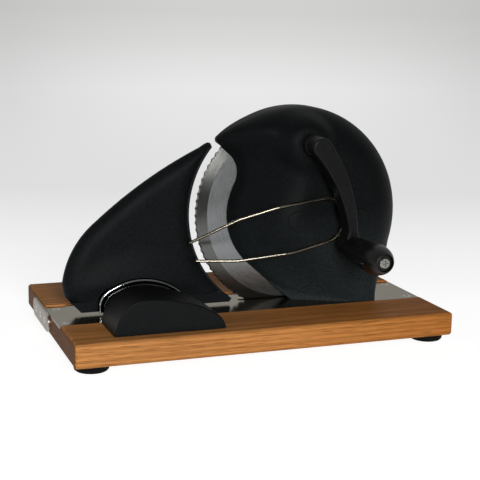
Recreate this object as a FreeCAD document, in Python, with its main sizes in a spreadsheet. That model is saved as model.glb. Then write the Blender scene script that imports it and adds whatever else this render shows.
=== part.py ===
"""Hand crank bread slicer: wooden board, steel strip, geared round blade and sliding stop plate.

The driving dimensions stand in the spreadsheet "sizes". Places are given from the middle of the board:
X to the right, Y towards the bread's side at the back, Z up from the floor. The cells frame_x and frame_y
move every sub-part to the row's frame, whose origin lies on the floor under the middle of the whole
object's box.
"""
import FreeCAD, Part
import math
import os
import Sketcher

SIZES = {
    # Row frame, seen from the middle of the board
    "frame_x": 1.0,
    "frame_y": 16.5,
    # Board and feet
    "board_length": 355,
    "board_depth": 220,
    "board_thick": 21.6,
    "board_round": 3,
    "foot_radius": 15.75,
    "foot_height": 6,
    "foot_inset": 18,
    "foot_bore": 2.1,
    # Steel strip let into the board
    "strip_front": -49,
    "strip_back": 22,
    "strip_play": 0.2,
    "strip_sink": 1.5,
    "strip_thick": 1.5,
    "strip_screw_inset": 9,
    "strip_screw_front": -36,
    "strip_screw_back": 12,
    "notch_left": -158.5,
    "notch_right": -60,
    "notch_back": 25,
    # Cover on the board's left end
    "end_plate_length": 74,
    "end_plate_height": 18,
    "end_plate_thick": 2,
    "end_plate_y": 33,
    "end_plate_z": 16.8,
    "end_plate_pitch": 20,
    # Blade and its place
    "blade_x": 54.7,
    "blade_z": 110.2,
    "blade_front": -4.4,
    "blade_thick": 1.5,
    "blade_radius": 95.3,
    "blade_bore": 9,
    "bevel_width": 12,
    "edge_thick": 0.4,
    "tooth_count": 76,
    "tooth_depth": 1.2,
    "slot_play": 2,
    "slot_end_play": 6,
    "blade_pocket": 12.6,
    # Gears: crank pinion above the blade's gear
    "gear_module": 2,
    "pinion_teeth": 24,
    "wheel_teeth": 46,
    "gear_front": -22.5,
    "gear_width": 8,
    "gear_play": 0.16,
    # Housing, seen from the blade's axis
    "rim_radius": 102,
    "rim_round": 35,
    "skirt_right": 80,
    "skirt_blend": 60,
    "bulge_radius": 66.3,
    "cove_radius": 23,
    "cove_angle": 151.5,
    "beak_angle": 137.5,
    "beak_reach": 60,
    "toe_angle": 230.3,
    "housing_front": -48,
    "housing_edge": -12,
    "lip_back": -1,
    "lip_inner": 98,
    "bevel_across": 44.5,
    "bevel_deep": 36,
    "bevel_blend": 30,
    "wall": 2.4,
    "floor_thick": 9,
    "plinth_top": 38,
    "base_lip": 3,
    "hump_radius": 23,
    "hump_top": 11.5,
    "hump_height": 5.5,
    "badge_x": 22.8,
    "badge_z": -1.7,
    "badge_length": 82,
    "badge_height": 19,
    "badge_rise": 0.6,
    # Shafts, bushes and bosses
    "shaft_radius": 6,
    "axle_radius": 8,
    "running_play": 0.05,
    "bush_wall": 3,
    "boss_wall": 5,
    "boss_back": -27,
    "cover_thick": 1.5,
    "cover_post_radius": 4.5,
    "bolt_radius": 3,
    "bolt_top": 42,
    # Crank and grip
    "arm_front": -79,
    "arm_thick": 17,
    "arm_head": 9,
    "arm_foot": 8.5,
    "arm_waist": 4.5,
    "arm_round": 2,
    "grip_x": 87.7,
    "grip_z": 87,
    "grip_length": 63.6,
    "grip_radius": 13.8,
    "grip_root": 11,
    "grip_gap": 0.4,
    "pin_radius": 4,
    # Bent wire in front of the housing
    "wire_radius": 1.4,
    "wire_y": -54,
    # Stop plate, bezel and grip block
    "guide_face_y": -3.4,
    "guide_face_thick": 2,
    "stop_front": -15,
    "stop_bottom": 28.4,
    "stop_travel": 18,
    "flange_top": 38,
    "flange_rise": 0.6,
    "flange_thick": 2.8,
    "block_front": -100,
    "block_back": -50,
    "block_left": -141,
    "block_right": -41.5,
    "block_top": 59.2,
    "block_bottom": 28.6,
    "bezel_front": -21.5,
    "bezel_left": -135.5,
    "bezel_right": -44,
    "bezel_top": 57.1,
    "bezel_band": 2.8,
    # Guide under the strip
    "pocket_left": -122,
    "pocket_right": -63,
    "pocket_front": -54,
    "pocket_back": 10,
    "pocket_top": 21,
    "rod_radius": 4,
    "rod_left": -113,
    "rod_right": -72,
    "rod_z": 14,
    "rod_end": 10,
    "carriage_front": -34,
    "carriage_back": -8,
    "carriage_half": 5.5,
    "post_left": -105,
    "post_right": -80,
    "post_width": 7,
    "post_depth": 8,
    "post_y": -23,
    "post_top": 36,
}

# Profile of the grip block: share of the width, share of the height, and the radius of the arc to the next
# corner as a share of the width; the arcs run into each other without a corner
ARCH = [
    (0, 0, 0.4315),
    (0.09, 0.7, 0.2231),
    (0.266, 0.975, 1.5532),
    (0.64, 0.82, 0.9231),
    (0.91, 0.44, 0.2014),
    (1, 0, None),
]

# Profile of the bezel and of the neck inside it, in shares of their own width and height
BEZEL_ARCH = [
    (0, 0, None),
    (0, 0.295, 0.204),
    (0.126, 0.761, 0.63),
    (0.566, 0.951, 0.63),
    (0.838, 0.519, None),
    (0.978, 0.084, None),
    (1, 0, None),
]

# Outline of the stop plate at its guide face: across, up, and the radius of the arc to the next corner
STOP_OUTLINE = [
    (-24.6, 174.2, 100),
    (-6, 31.4, None),
    (-153.9, 31.4, None),
    (-163, 41, -40),
    (-166, 54, -85),
    (-134.9, 109.2, -420),
    (-37.0, 174.0, -30),
    (-29, 177.6, -5),
]
# Points towards which the plate's rounded front and its hollow are drawn in
STOP_CENTRE = (-85, 31.4)
STOP_HOLLOW_CENTRE = (-85, 80)

# Distance behind the guide face and share of the outline, for the rounded front of the stop plate
STOP_LAYERS = [(0, 1), (3, 0.993), (5.4, 0.98), (7.4, 0.957), (8.8, 0.927), (9.6, 0.89)]
STOP_HOLLOW = [(0, 0.95), (4, 0.9)]

# Route of the bent wire: across, back, up and the bend's radius at that corner
WIRE_ROUTE = [
    (-54.6, -35, 91.7, 0),
    (-12, -45, 112.4, 60),
    (26.5, -54, 124.6, 60),
    (89.2, -54, 132.8, 20),
    (89.2, -54, 93.4, 20),
    (37.5, -54, 80.7, 60),
    (-12.5, -45, 74.3, 60),
    (-48.6, -35, 74.3, 0),
]

# Places seen from the blade's axis
COVER_POSTS = [(-49.2, -20.8), (-42, 66), (48, 76), (80, 0), (48, -50)]

# Footprint of the housing's base, from the middle of the board: across, back
PLINTH = [(30, -12), (30, -5.1), (103.5, -40), (103.5, -12)]
BASE_LIP = [(30, -12), (52.9, -16), (103.5, -40), (112, -44), (126.5, -44), (132.6, -25), (134.5, -12)]
# Places on the board
HOUSING_BOLTS = [(80, -19), (97, -33), (120, -22)]
BOLT_HEAD_UP = 6.6

# Screws through the stop plate into the neck: across, and their height
NECK_SCREWS = (-115, -68)
NECK_SCREW_UP = 41

# Thickness of the housing's front that closes the axle's bore
AXLE_COVER = 4

# Share by which the inner bevel starts further in than the shell's wall
BEVEL_SIDE = 1.75

# Turns of pieces that are drawn along the upright axis
UPRIGHT = None
DOWNWARD = (FreeCAD.Vector(1, 0, 0), 180)
BACKWARD = (FreeCAD.Vector(1, 0, 0), -90)
FORWARD = (FreeCAD.Vector(1, 0, 0), 90)
LEFTWARD = (FreeCAD.Vector(0, 1, 0), -90)
RIGHTWARD = (FreeCAD.Vector(0, 1, 0), 90)


class Size:
    """A length that knows both its number and the expression that gives it."""

    def __init__(self, number, text):
        self.number = float(number)
        self.text = text

    def joined(self, sign, other, number):
        return Size(number, "(%s %s %s)" % (self.text, sign, other.text))

    def __add__(self, other):
        other = as_size(other)
        return self.joined("+", other, self.number + other.number)

    def __radd__(self, other):
        return as_size(other) + self

    def __sub__(self, other):
        other = as_size(other)
        return self.joined("-", other, self.number - other.number)

    def __rsub__(self, other):
        return as_size(other) - self

    def __mul__(self, other):
        other = as_size(other)
        return self.joined("*", other, self.number * other.number)

    def __rmul__(self, other):
        return as_size(other) * self

    def __truediv__(self, other):
        other = as_size(other)
        return self.joined("/", other, self.number / other.number)

    def __neg__(self):
        return as_size(0) - self


def as_size(value):
    if isinstance(value, Size):
        return value
    return Size(value, "(%r)" % float(value))


def root(size):
    return Size(math.sqrt(size.number), "sqrt(%s)" % size.text)


def cosine(size):
    return Size(math.cos(math.radians(size.number)), "cos(%s * 1 deg)" % size.text)


def sine(size):
    return Size(math.sin(math.radians(size.number)), "sin(%s * 1 deg)" % size.text)


class Sizes:
    """The spreadsheet's cells by name."""

    def __init__(self, doc):
        sheet = doc.addObject("Spreadsheet::Sheet", "sizes")
        for row, (name, number) in enumerate(SIZES.items(), start=1):
            sheet.set("A%d" % row, name)
            sheet.set("B%d" % row, str(number))
            sheet.setAlias("B%d" % row, name)
        doc.recompute()
        self.sheet = sheet

    def __getattr__(self, name):
        return Size(self.sheet.get(name), "sizes.%s" % name)


def bind(thing, path, size):
    """Give a property its expression, or its plain number where no cell is in it."""
    size = as_size(size)
    thing.setExpression(path, size.text)


def place(thing, at, turn=None):
    """Put a sub-part at its place, moved into the row's frame."""
    if turn:
        axis, degrees = turn
        thing.Placement = FreeCAD.Placement(FreeCAD.Vector(), FreeCAD.Rotation(axis, degrees))
    bind(thing, "Placement.Base.x", as_size(at[0]) + cells.frame_x)
    bind(thing, "Placement.Base.y", as_size(at[1]) + cells.frame_y)
    bind(thing, "Placement.Base.z", at[2])


def new_body(label, at=(0, 0, 0), turn=None):
    body = doc.addObject("PartDesign::Body", label)
    body.Label = label
    place(body, at, turn)
    return body


def new_sketch(body, role, name, start=0):
    """A sketch on one of the body's own planes, moved along the plane's axis."""
    plane = next(item for item in body.Origin.OriginFeatures if item.Role == role)
    sketch = body.newObject("Sketcher::SketchObject", name)
    sketch.AttachmentSupport = [(plane, "")]
    sketch.MapMode = "FlatFace"
    offset = -as_size(start) if role == "XZ_Plane" else as_size(start)
    bind(sketch, "AttachmentOffset.Base.z", offset)
    return sketch


def pin(sketch, kind, name, geometry, position, size):
    index = sketch.addConstraint(Sketcher.Constraint(kind, -1, 1, geometry, position, size.number))
    sketch.renameConstraint(index, name)
    sketch.setExpression("Constraints." + name, size.text)


def arc_between(start, end, radius):
    """The short arc from start to end; a positive radius bends it to the left."""
    chord = end - start
    middle = start + chord * 0.5
    left = FreeCAD.Vector(-chord.y, chord.x, 0).normalize()
    rise = math.sqrt(max(radius * radius - chord.Length ** 2 / 4, 0))
    side = 1 if radius > 0 else -1
    centre = middle + left * (rise * side)
    first, last = (start, end) if radius > 0 else (end, start)
    angles = [math.atan2(point.y - centre.y, point.x - centre.x) for point in (first, last)]
    if angles[1] < angles[0]:
        angles[1] += 2 * math.pi
    circle = Part.Circle(centre, FreeCAD.Vector(0, 0, 1), abs(radius))
    return Part.ArcOfCircle(circle, angles[0], angles[1])


def draw(sketch, corners):
    """A closed outline through corners (across, up) or (across, up, radius of the arc to the next corner)."""
    first = sketch.GeometryCount
    ends = []
    spots = [(as_size(corner[0]), as_size(corner[1])) for corner in corners]
    points = [FreeCAD.Vector(across.number, up.number, 0) for across, up in spots]
    for index, corner in enumerate(corners):
        start = points[index]
        end = points[(index + 1) % len(points)]
        radius = corner[2] if len(corner) > 2 else None
        if radius is None:
            geometry = sketch.addGeometry(Part.LineSegment(start, end))
            ends.append((geometry, 1, 2))
            continue
        radius = as_size(radius)
        geometry = sketch.addGeometry(arc_between(start, end, radius.number))
        ends.append((geometry, 1, 2) if radius.number > 0 else (geometry, 2, 1))
    for index, (geometry, _, tail) in enumerate(ends):
        following, head, _ = ends[(index + 1) % len(ends)]
        sketch.addConstraint(Sketcher.Constraint("Coincident", geometry, tail, following, head))
    for index, (geometry, head, _) in enumerate(ends):
        across, up = spots[index]
        pin(sketch, "DistanceX", "across%d" % (first + index), geometry, head, across)
        pin(sketch, "DistanceY", "up%d" % (first + index), geometry, head, up)
    for index, (geometry, _, _) in enumerate(ends):
        radius = corners[index][2] if len(corners[index]) > 2 else None
        if radius is None:
            continue
        size = as_size(radius)
        size = size if size.number > 0 else -size
        half_turn = size.number <= (points[(index + 1) % len(points)] - points[index]).Length / 2 + 1e-6
        if half_turn:
            continue
        name = "radius%d" % (first + index)
        constraint = sketch.addConstraint(Sketcher.Constraint("Radius", geometry, size.number))
        sketch.renameConstraint(constraint, name)
        sketch.setExpression("Constraints." + name, size.text)


def draw_circle(sketch, across, up, radius):
    across, up, radius = as_size(across), as_size(up), as_size(radius)
    centre = FreeCAD.Vector(across.number, up.number, 0)
    geometry = sketch.addGeometry(Part.Circle(centre, FreeCAD.Vector(0, 0, 1), radius.number))
    pin(sketch, "DistanceX", "across%d" % geometry, geometry, 3, across)
    pin(sketch, "DistanceY", "up%d" % geometry, geometry, 3, up)
    name = "radius%d" % geometry
    constraint = sketch.addConstraint(Sketcher.Constraint("Radius", geometry, radius.number))
    sketch.renameConstraint(constraint, name)
    sketch.setExpression("Constraints." + name, radius.text)


def box_outline(left, right, low, high):
    return [(left, low), (right, low), (right, high), (left, high)]


def slot_outline(across, up, length, height):
    """A slot-shaped outline lying along the across axis."""
    half = (as_size(length) - height) / 2
    end = as_size(height) / 2
    return [
        (across - half, up - end),
        (across + half, up - end, end),
        (across + half, up + end),
        (across - half, up + end, end),
    ]


def extrude(body, kind, role, name, start, length, outlines, circles=()):
    """Pad to the back, up or to the right from start, or pocket to the back or down from it."""
    sketch = new_sketch(body, role, name + "_outline", start)
    for outline in outlines:
        draw(sketch, outline)
    for circle in circles:
        draw_circle(sketch, *circle)
    feature = body.newObject("PartDesign::" + kind, name)
    feature.Profile = sketch
    bind(feature, "Length", length)
    feature.Reversed = kind == "Pad" and role == "XZ_Plane"
    return feature


def spin(body, kind, role, name, corners):
    """Turn an outline of (radius, height) corners about the sketch's upright axis."""
    sketch = new_sketch(body, role, name + "_outline")
    draw(sketch, corners)
    feature = body.newObject("PartDesign::" + kind, name)
    feature.Profile = sketch
    feature.ReferenceAxis = (sketch, ["V_Axis"])
    feature.Angle = 360
    return feature


def round_edges(body, base, name, radius, wanted, kind="Fillet"):
    """Fillet or chamfer the edges of a feature that pass the test."""
    doc.recompute()
    names = ["Edge%d" % (i + 1) for i, edge in enumerate(base.Shape.Edges) if wanted(edge)]
    feature = body.newObject("PartDesign::" + kind, name)
    feature.Base = (base, names)
    bind(feature, "Radius" if kind == "Fillet" else "Size", radius)
    return feature


def lies_at(axis, value):
    """A test for edges that lie in one plane square to an axis."""
    def test(edge):
        box = edge.BoundBox
        low, high = {"x": (box.XMin, box.XMax), "y": (box.YMin, box.YMax), "z": (box.ZMin, box.ZMax)}[axis]
        return abs(low - value) < 1e-4 and abs(high - value) < 1e-4
    return test


def keep(label, thing):
    """Name a finished sub-part."""
    thing.Label = label
    sub_parts[label] = thing
    return thing


def group(label, members):
    """Identical pieces as separate solids of one sub-part."""
    compound = doc.addObject("Part::Compound", label)
    compound.Links = members
    return keep(label, compound)


def boolean(kind, name, base, tools=()):
    """A cut, fusion or common of finished solids."""
    if kind == "Cut":
        feature = doc.addObject("Part::Cut", name)
        feature.Base = base
        feature.Tool = tools
        return feature
    feature = doc.addObject("Part::Multi" + kind, name)
    feature.Shapes = [base, *tools]
    return feature


def rod(name, at, radius, length, turn=None):
    """A round bar that starts at its place and runs up, or along the turned axis."""
    cylinder = doc.addObject("Part::Cylinder", name)
    place(cylinder, at, turn)
    bind(cylinder, "Radius", radius)
    bind(cylinder, "Height", length)
    return cylinder


def block(name, low, high):
    """A plain box between two corners."""
    box = doc.addObject("Part::Box", name)
    place(box, low)
    for side, start, end in zip(("Length", "Width", "Height"), low, high):
        bind(box, side, as_size(end) - start)
    return box


def screw(name, at, turn, head, head_height, shank, length, countersunk=False, recess=None):
    """A screw whose head ends at its place and faces up before it is turned."""
    body = new_body(name, at, turn)
    head, shank = as_size(head), as_size(shank)
    top = [(0, 0), (head, 0), (shank, -as_size(head_height))]
    if not countersunk:
        crown = head_height * 0.35
        top = [(0, 0), (head - crown, 0), (head, -crown), (head, -head_height), (shank, -head_height)]
    tip = shank * 0.5
    end = -as_size(length)
    spin(body, "Revolution", "XZ_Plane", name + "_turned", top + [(shank, end + tip), (tip, end), (0, end)])
    arm = head * 0.55
    half = head * 0.11
    cross = [
        (arm, -half), (arm, half), (half, half), (half, arm), (-half, arm), (-half, half),
        (-arm, half), (-arm, -half), (-half, -half), (-half, -arm), (half, -arm), (half, -half),
    ]
    depth = recess or head_height * 0.6
    extrude(body, "Pocket", "XY_Plane", name + "_recess", 0, depth, [cross])
    return body


def make_board():
    top = cells.foot_height + cells.board_thick
    channel = cells.strip_sink + cells.strip_thick
    half_long = cells.board_length / 2
    half_deep = cells.board_depth / 2
    body = new_body("base_board")
    slab = extrude(body, "Pad", "XY_Plane", "slab", cells.foot_height, cells.board_thick,
                   [box_outline(-half_long, half_long, -half_deep, half_deep)])
    round_edges(body, slab, "rounded", cells.board_round, lambda edge: True)
    strip_front = cells.strip_front - cells.strip_play
    strip_back = cells.strip_back + cells.strip_play
    extrude(body, "Pocket", "XY_Plane", "channel", top, channel,
            [box_outline(-half_long - 1, half_long + 1, strip_front, strip_back)])
    extrude(body, "Pocket", "XY_Plane", "notch", top, channel,
            [box_outline(cells.notch_left, cells.notch_right, cells.strip_back - 1, cells.notch_back)])
    left, right, front, back = blade_slot()
    extrude(body, "Pocket", "XY_Plane", "blade_pocket", top - channel, cells.blade_pocket,
            [box_outline(left, right, front - 2, back + 2)])
    extrude_up(body, "carriage_pocket", cells.foot_height, cells.pocket_top,
               [box_outline(cells.pocket_left, cells.pocket_right, cells.pocket_front, cells.pocket_back)])
    extrude_up(body, "post_slots", cells.pocket_top, top - channel, post_slots())
    grooves = []
    for across in (cells.rod_left, cells.rod_right):
        grooves.append(box_outline(across - cells.rod_radius, across + cells.rod_radius,
                                   cells.pocket_front - cells.rod_end, cells.pocket_back + cells.rod_end))
    extrude_up(body, "rod_grooves", cells.foot_height, cells.rod_z + cells.rod_radius, grooves)
    recesses = [box_outline(*clamp_span(end, 0.2)) for end in clamp_middles()]
    extrude_up(body, "clamp_recesses", cells.foot_height, cells.rod_z - cells.rod_radius, recesses)
    doc.recompute()
    tools = []
    for number, (across, back) in enumerate(strip_screw_places()):
        tools.append(rod("strip_pilot_%d" % number, (across, back, 18.8), 2, 20))
    for number, (across, back) in enumerate(foot_places()):
        tools.append(rod("foot_pilot_%d" % number, (across, back, 0), cells.foot_bore - 0.1, 19))
    for number, (across, back) in enumerate(HOUSING_BOLTS):
        tools.append(rod("bolt_hole_%d" % number, (across, back, 0), cells.bolt_radius, 40))
        tools.append(rod("bolt_seat_%d" % number, (across, back, 0), cells.bolt_radius + 4, 12))
    for number, (across, back) in enumerate(clamp_screw_places()):
        tools.append(rod("clamp_pilot_%d" % number, (across, back, 0), 1.5, 17))
    for number in (-1, 0, 1):
        back = cells.end_plate_y + cells.end_plate_pitch * number
        tools.append(rod("end_pilot_%d" % (number + 1), (-half_long - 3, back, cells.end_plate_z), 1.5, 18,
                         RIGHTWARD))
    drills = boolean("Fuse", "board_drills", tools[0], tools[1:])
    keep("base_board", boolean("Cut", "drilled_board", body, drills))


def extrude_up(body, name, low, high, outlines):
    """A pocket between a low and a high plane."""
    return extrude(body, "Pocket", "XY_Plane", name, high, as_size(high) - low, outlines)


def blade_slot():
    """Left, right, front and back of the slot through which the blade dips."""
    drop = cells.blade_z - strip_top()
    half = root(cells.blade_radius * cells.blade_radius - drop * drop) + cells.slot_end_play
    back = cells.blade_front + cells.blade_thick
    return (cells.blade_x - half, cells.blade_x + half,
            cells.blade_front - cells.slot_play, back + cells.slot_play)


def strip_top():
    return cells.foot_height + cells.board_thick - cells.strip_sink


def strip_bottom():
    return strip_top() - cells.strip_thick


def strip_screw_places():
    side = cells.board_length / 2 - cells.strip_screw_inset
    return [(across, back) for across in (-side, side)
            for back in (cells.strip_screw_front, cells.strip_screw_back)]


def foot_places():
    side = cells.board_length / 2 - cells.foot_inset
    depth = cells.board_depth / 2 - cells.foot_inset
    return [(-side, -depth), (side, -depth), (-side, depth), (side, depth)]


def post_slots():
    """Slots over the whole travel of the two carriage posts."""
    slots = []
    for across in (cells.post_left, cells.post_right):
        half = cells.post_width / 2 + 1
        back = cells.post_y + cells.post_depth / 2 + 2
        front = cells.post_y - cells.post_depth / 2 - cells.stop_travel - 2
        slots.append(box_outline(across - half, across + half, front, back))
    return slots


def clamp_middles():
    half = cells.rod_end / 2 + 0.5
    return (cells.pocket_front - half, cells.pocket_back + half)


def clamp_span(middle, play):
    """Left, right, front and back of a clamp bar that holds one end of both rods."""
    return (cells.rod_left - 16 - play, cells.rod_right + 16 + play, middle - 4.5 - play, middle + 4.5 + play)


def clamp_screw_places():
    return [(across, middle) for middle in clamp_middles()
            for across in (cells.rod_left - 10, cells.rod_right + 10)]


def make_strip():
    half = cells.board_length / 2
    body = new_body("slide_sheet")
    extrude(body, "Pad", "XY_Plane", "sheet", strip_bottom(), cells.strip_thick,
            [box_outline(-half, half, cells.strip_front, cells.strip_back)])
    extrude_up(body, "slots", strip_bottom(), strip_top(), [box_outline(*blade_slot()), *post_slots()])
    doc.recompute()
    tools = []
    for number, (across, back) in enumerate(strip_screw_places()):
        cone = doc.addObject("Part::Cone", "strip_sink_%d" % number)
        place(cone, (across, back, strip_bottom()))
        cone.Radius1 = 2
        cone.Radius2 = 3.8
        bind(cone, "Height", cells.strip_thick)
        tools.append(cone)
    for number, (across, back) in enumerate(HOUSING_BOLTS):
        tools.append(rod("strip_bolt_%d" % number, (across, back, 20), cells.bolt_radius, 10))
    drills = boolean("Fuse", "strip_drills", tools[0], tools[1:])
    keep("slide_sheet", boolean("Cut", "drilled_sheet", body, drills))
    screws = [screw("strip_screw_%d" % number, (across, back, strip_top()), UPRIGHT, 3.8, 1.5, 2, 7, True)
              for number, (across, back) in enumerate(strip_screw_places())]
    group("sheet_screws", screws)


def make_end_plate():
    face = -cells.board_length / 2
    body = new_body("end_plate", (face, cells.end_plate_y, cells.end_plate_z))
    plate = extrude(body, "Pad", "YZ_Plane", "plate", -cells.end_plate_thick, cells.end_plate_thick,
                    [slot_outline(as_size(0), as_size(0), cells.end_plate_length, cells.end_plate_height)])
    round_edges(body, plate, "softened", 0.5, lies_at("x", -cells.end_plate_thick.number), "Chamfer")
    tools = []
    screws = []
    for number in (-1, 0, 1):
        back = cells.end_plate_y + cells.end_plate_pitch * number
        at = (face - cells.end_plate_thick, back, cells.end_plate_z)
        cone = doc.addObject("Part::Cone", "end_sink_%d" % (number + 1))
        place(cone, at, RIGHTWARD)
        cone.Radius1 = 3
        cone.Radius2 = 1.5
        cone.Height = 1.5
        tools.append(cone)
        tools.append(rod("end_hole_%d" % (number + 1), at, 1.5, 3, RIGHTWARD))
        screws.append(screw("end_screw_%d" % (number + 1), at, LEFTWARD, 3, 1.5, 1.5, 14, True))
    drills = boolean("Fuse", "end_drills", tools[0], tools[1:])
    keep("end_plate", boolean("Cut", "drilled_end_plate", body, drills))
    group("end_plate_screws", screws)


def make_feet():
    names = ("foot_front_left", "foot_front_right", "foot_rear_left", "foot_rear_right")
    screws = []
    for name, (across, back) in zip(names, foot_places()):
        body = new_body(name, (across, back, 0))
        radius = cells.foot_radius
        high = cells.foot_height
        spin(body, "Revolution", "XZ_Plane", name + "_turned", [
            (cells.foot_bore + 3.4, 0), (radius - 2.2, 0), (radius - 0.9, 1.3), (radius, high),
            (cells.foot_bore, high), (cells.foot_bore, high - 3), (cells.foot_bore + 3.4, high - 3),
        ])
        keep(name, body)
        screws.append(screw("screw_" + name, (across, back, 0.7), DOWNWARD, 4.4, 2.3, 2, 17))
    group("foot_screws", screws)


def rim_outline(inset):
    """Rim circle with a straight skirt at the right, seen from the blade's axis."""
    rim = cells.rim_radius - inset
    right = cells.skirt_right - inset
    blend = cells.skirt_blend + inset
    centre_x = right + blend
    reach = rim + blend
    centre_z = -root(reach * reach - centre_x * centre_x)
    floor = strip_top() - cells.blade_z
    return [
        (right, floor),
        (right, centre_z, -blend),
        (centre_x * rim / reach, centre_z * rim / reach, rim),
        (as_size(0), rim, rim),
        (-rim, as_size(0)),
        (-rim, floor),
    ]


def bulge_outline(inset):
    """Everything right of the bulge, the cove and the beak, seen from the blade's axis."""
    bulge = cells.bulge_radius - inset
    cove = cells.cove_radius + inset
    reach = cells.bulge_radius + cells.cove_radius
    angle = cells.cove_angle
    cove_x = reach * cosine(angle)
    cove_z = reach * sine(angle)
    beak = cells.beak_angle
    beak_x = cove_x + cove * sine(beak)
    beak_z = cove_z - cove * cosine(beak)
    toe = cells.toe_angle
    toe_x = bulge * cosine(toe)
    toe_z = bulge * sine(toe)
    floor = strip_top() - cells.blade_z
    run = (floor - toe_z) / cosine(toe)
    far = cells.rim_radius + 20
    end_x = beak_x + cells.beak_reach * cosine(beak)
    end_z = beak_z + cells.beak_reach * sine(beak)
    return [
        (toe_x - run * sine(toe), floor),
        (far, floor),
        (far, far),
        (end_x, far),
        (end_x, end_z),
        (beak_x, beak_z, -cove),
        (bulge * cosine(angle), bulge * sine(angle), bulge),
        (toe_x, toe_z),
    ]


def run_outline(name, outline, front, back):
    """A body that runs an outline, seen from the blade's axis, from front to back."""
    body = new_body(name, (cells.blade_x, 0, cells.blade_z))
    pad = extrude(body, "Pad", "XZ_Plane", name + "_run", front, as_size(back) - front, [outline])
    return body, pad


def housing_form(name, inset, front, back):
    """The housing's outer or inner form: rounded rim and bevelled bulge in common."""
    floor = (strip_top() - cells.blade_z).number
    at_front = lies_at("y", as_size(front).number)

    def on_rim(edge):
        return at_front(edge) and edge.CenterOfMass.z > floor + 1

    def on_bulge(edge):
        spot = edge.CenterOfMass
        return on_rim(edge) and spot.x < 20 and math.hypot(spot.x, spot.z) < 122

    rim, pad = run_outline(name + "_rim", rim_outline(inset), front, back)
    round_edges(rim, pad, name + "_rim_round", cells.rim_round - inset, on_rim)

    one = as_size(1)
    slope = root(one / (cells.bevel_across * cells.bevel_across) + one / (cells.bevel_deep * cells.bevel_deep))
    reach = 1 + inset * slope
    side = inset * BEVEL_SIDE
    across = cells.bevel_across * (reach - inset / cells.bevel_deep) - side
    deep = cells.bevel_deep * (reach - side / cells.bevel_across) - inset
    bulge, pad = run_outline(name + "_bulge", bulge_outline(side), front, back)
    bevel = round_edges(bulge, pad, name + "_bevel", deep, on_bulge, "Chamfer")
    bevel.ChamferType = "Two distances"
    bind(bevel, "Size2", across)
    ridge = round_edges(bulge, bevel, name + "_ridge", cells.bevel_blend - inset, on_bulge)
    bulge.Tip = ridge
    return boolean("Common", name, rim, [bulge])


def from_blade(across, back, up):
    return (cells.blade_x + across, back, cells.blade_z + up)


def crank_up():
    """Height of the crank's axis over the blade's axis, from the gears' teeth."""
    return cells.gear_module * (cells.pinion_teeth + cells.wheel_teeth) / 2


def bush_radius(shaft):
    return shaft + cells.running_play + cells.bush_wall


def make_base():
    """The upright plinth under the housing's bevel and the thin lip that it is bolted down by."""
    parts = []
    heights = {"plinth": cells.plinth_top, "base_lip": strip_top() + cells.base_lip}
    for name, outline in (("plinth", PLINTH), ("base_lip", BASE_LIP)):
        top = heights[name]
        prism = new_body(name)
        extrude(prism, "Pad", "XY_Plane", name + "_run", strip_top(), top - strip_top(), [outline])
        limit, _ = run_outline(name + "_limit", bulge_outline(as_size(0)), cells.housing_front, cells.lip_back)
        parts.append(boolean("Common", name + "_inside", prism, [limit]))
    return parts


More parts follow.
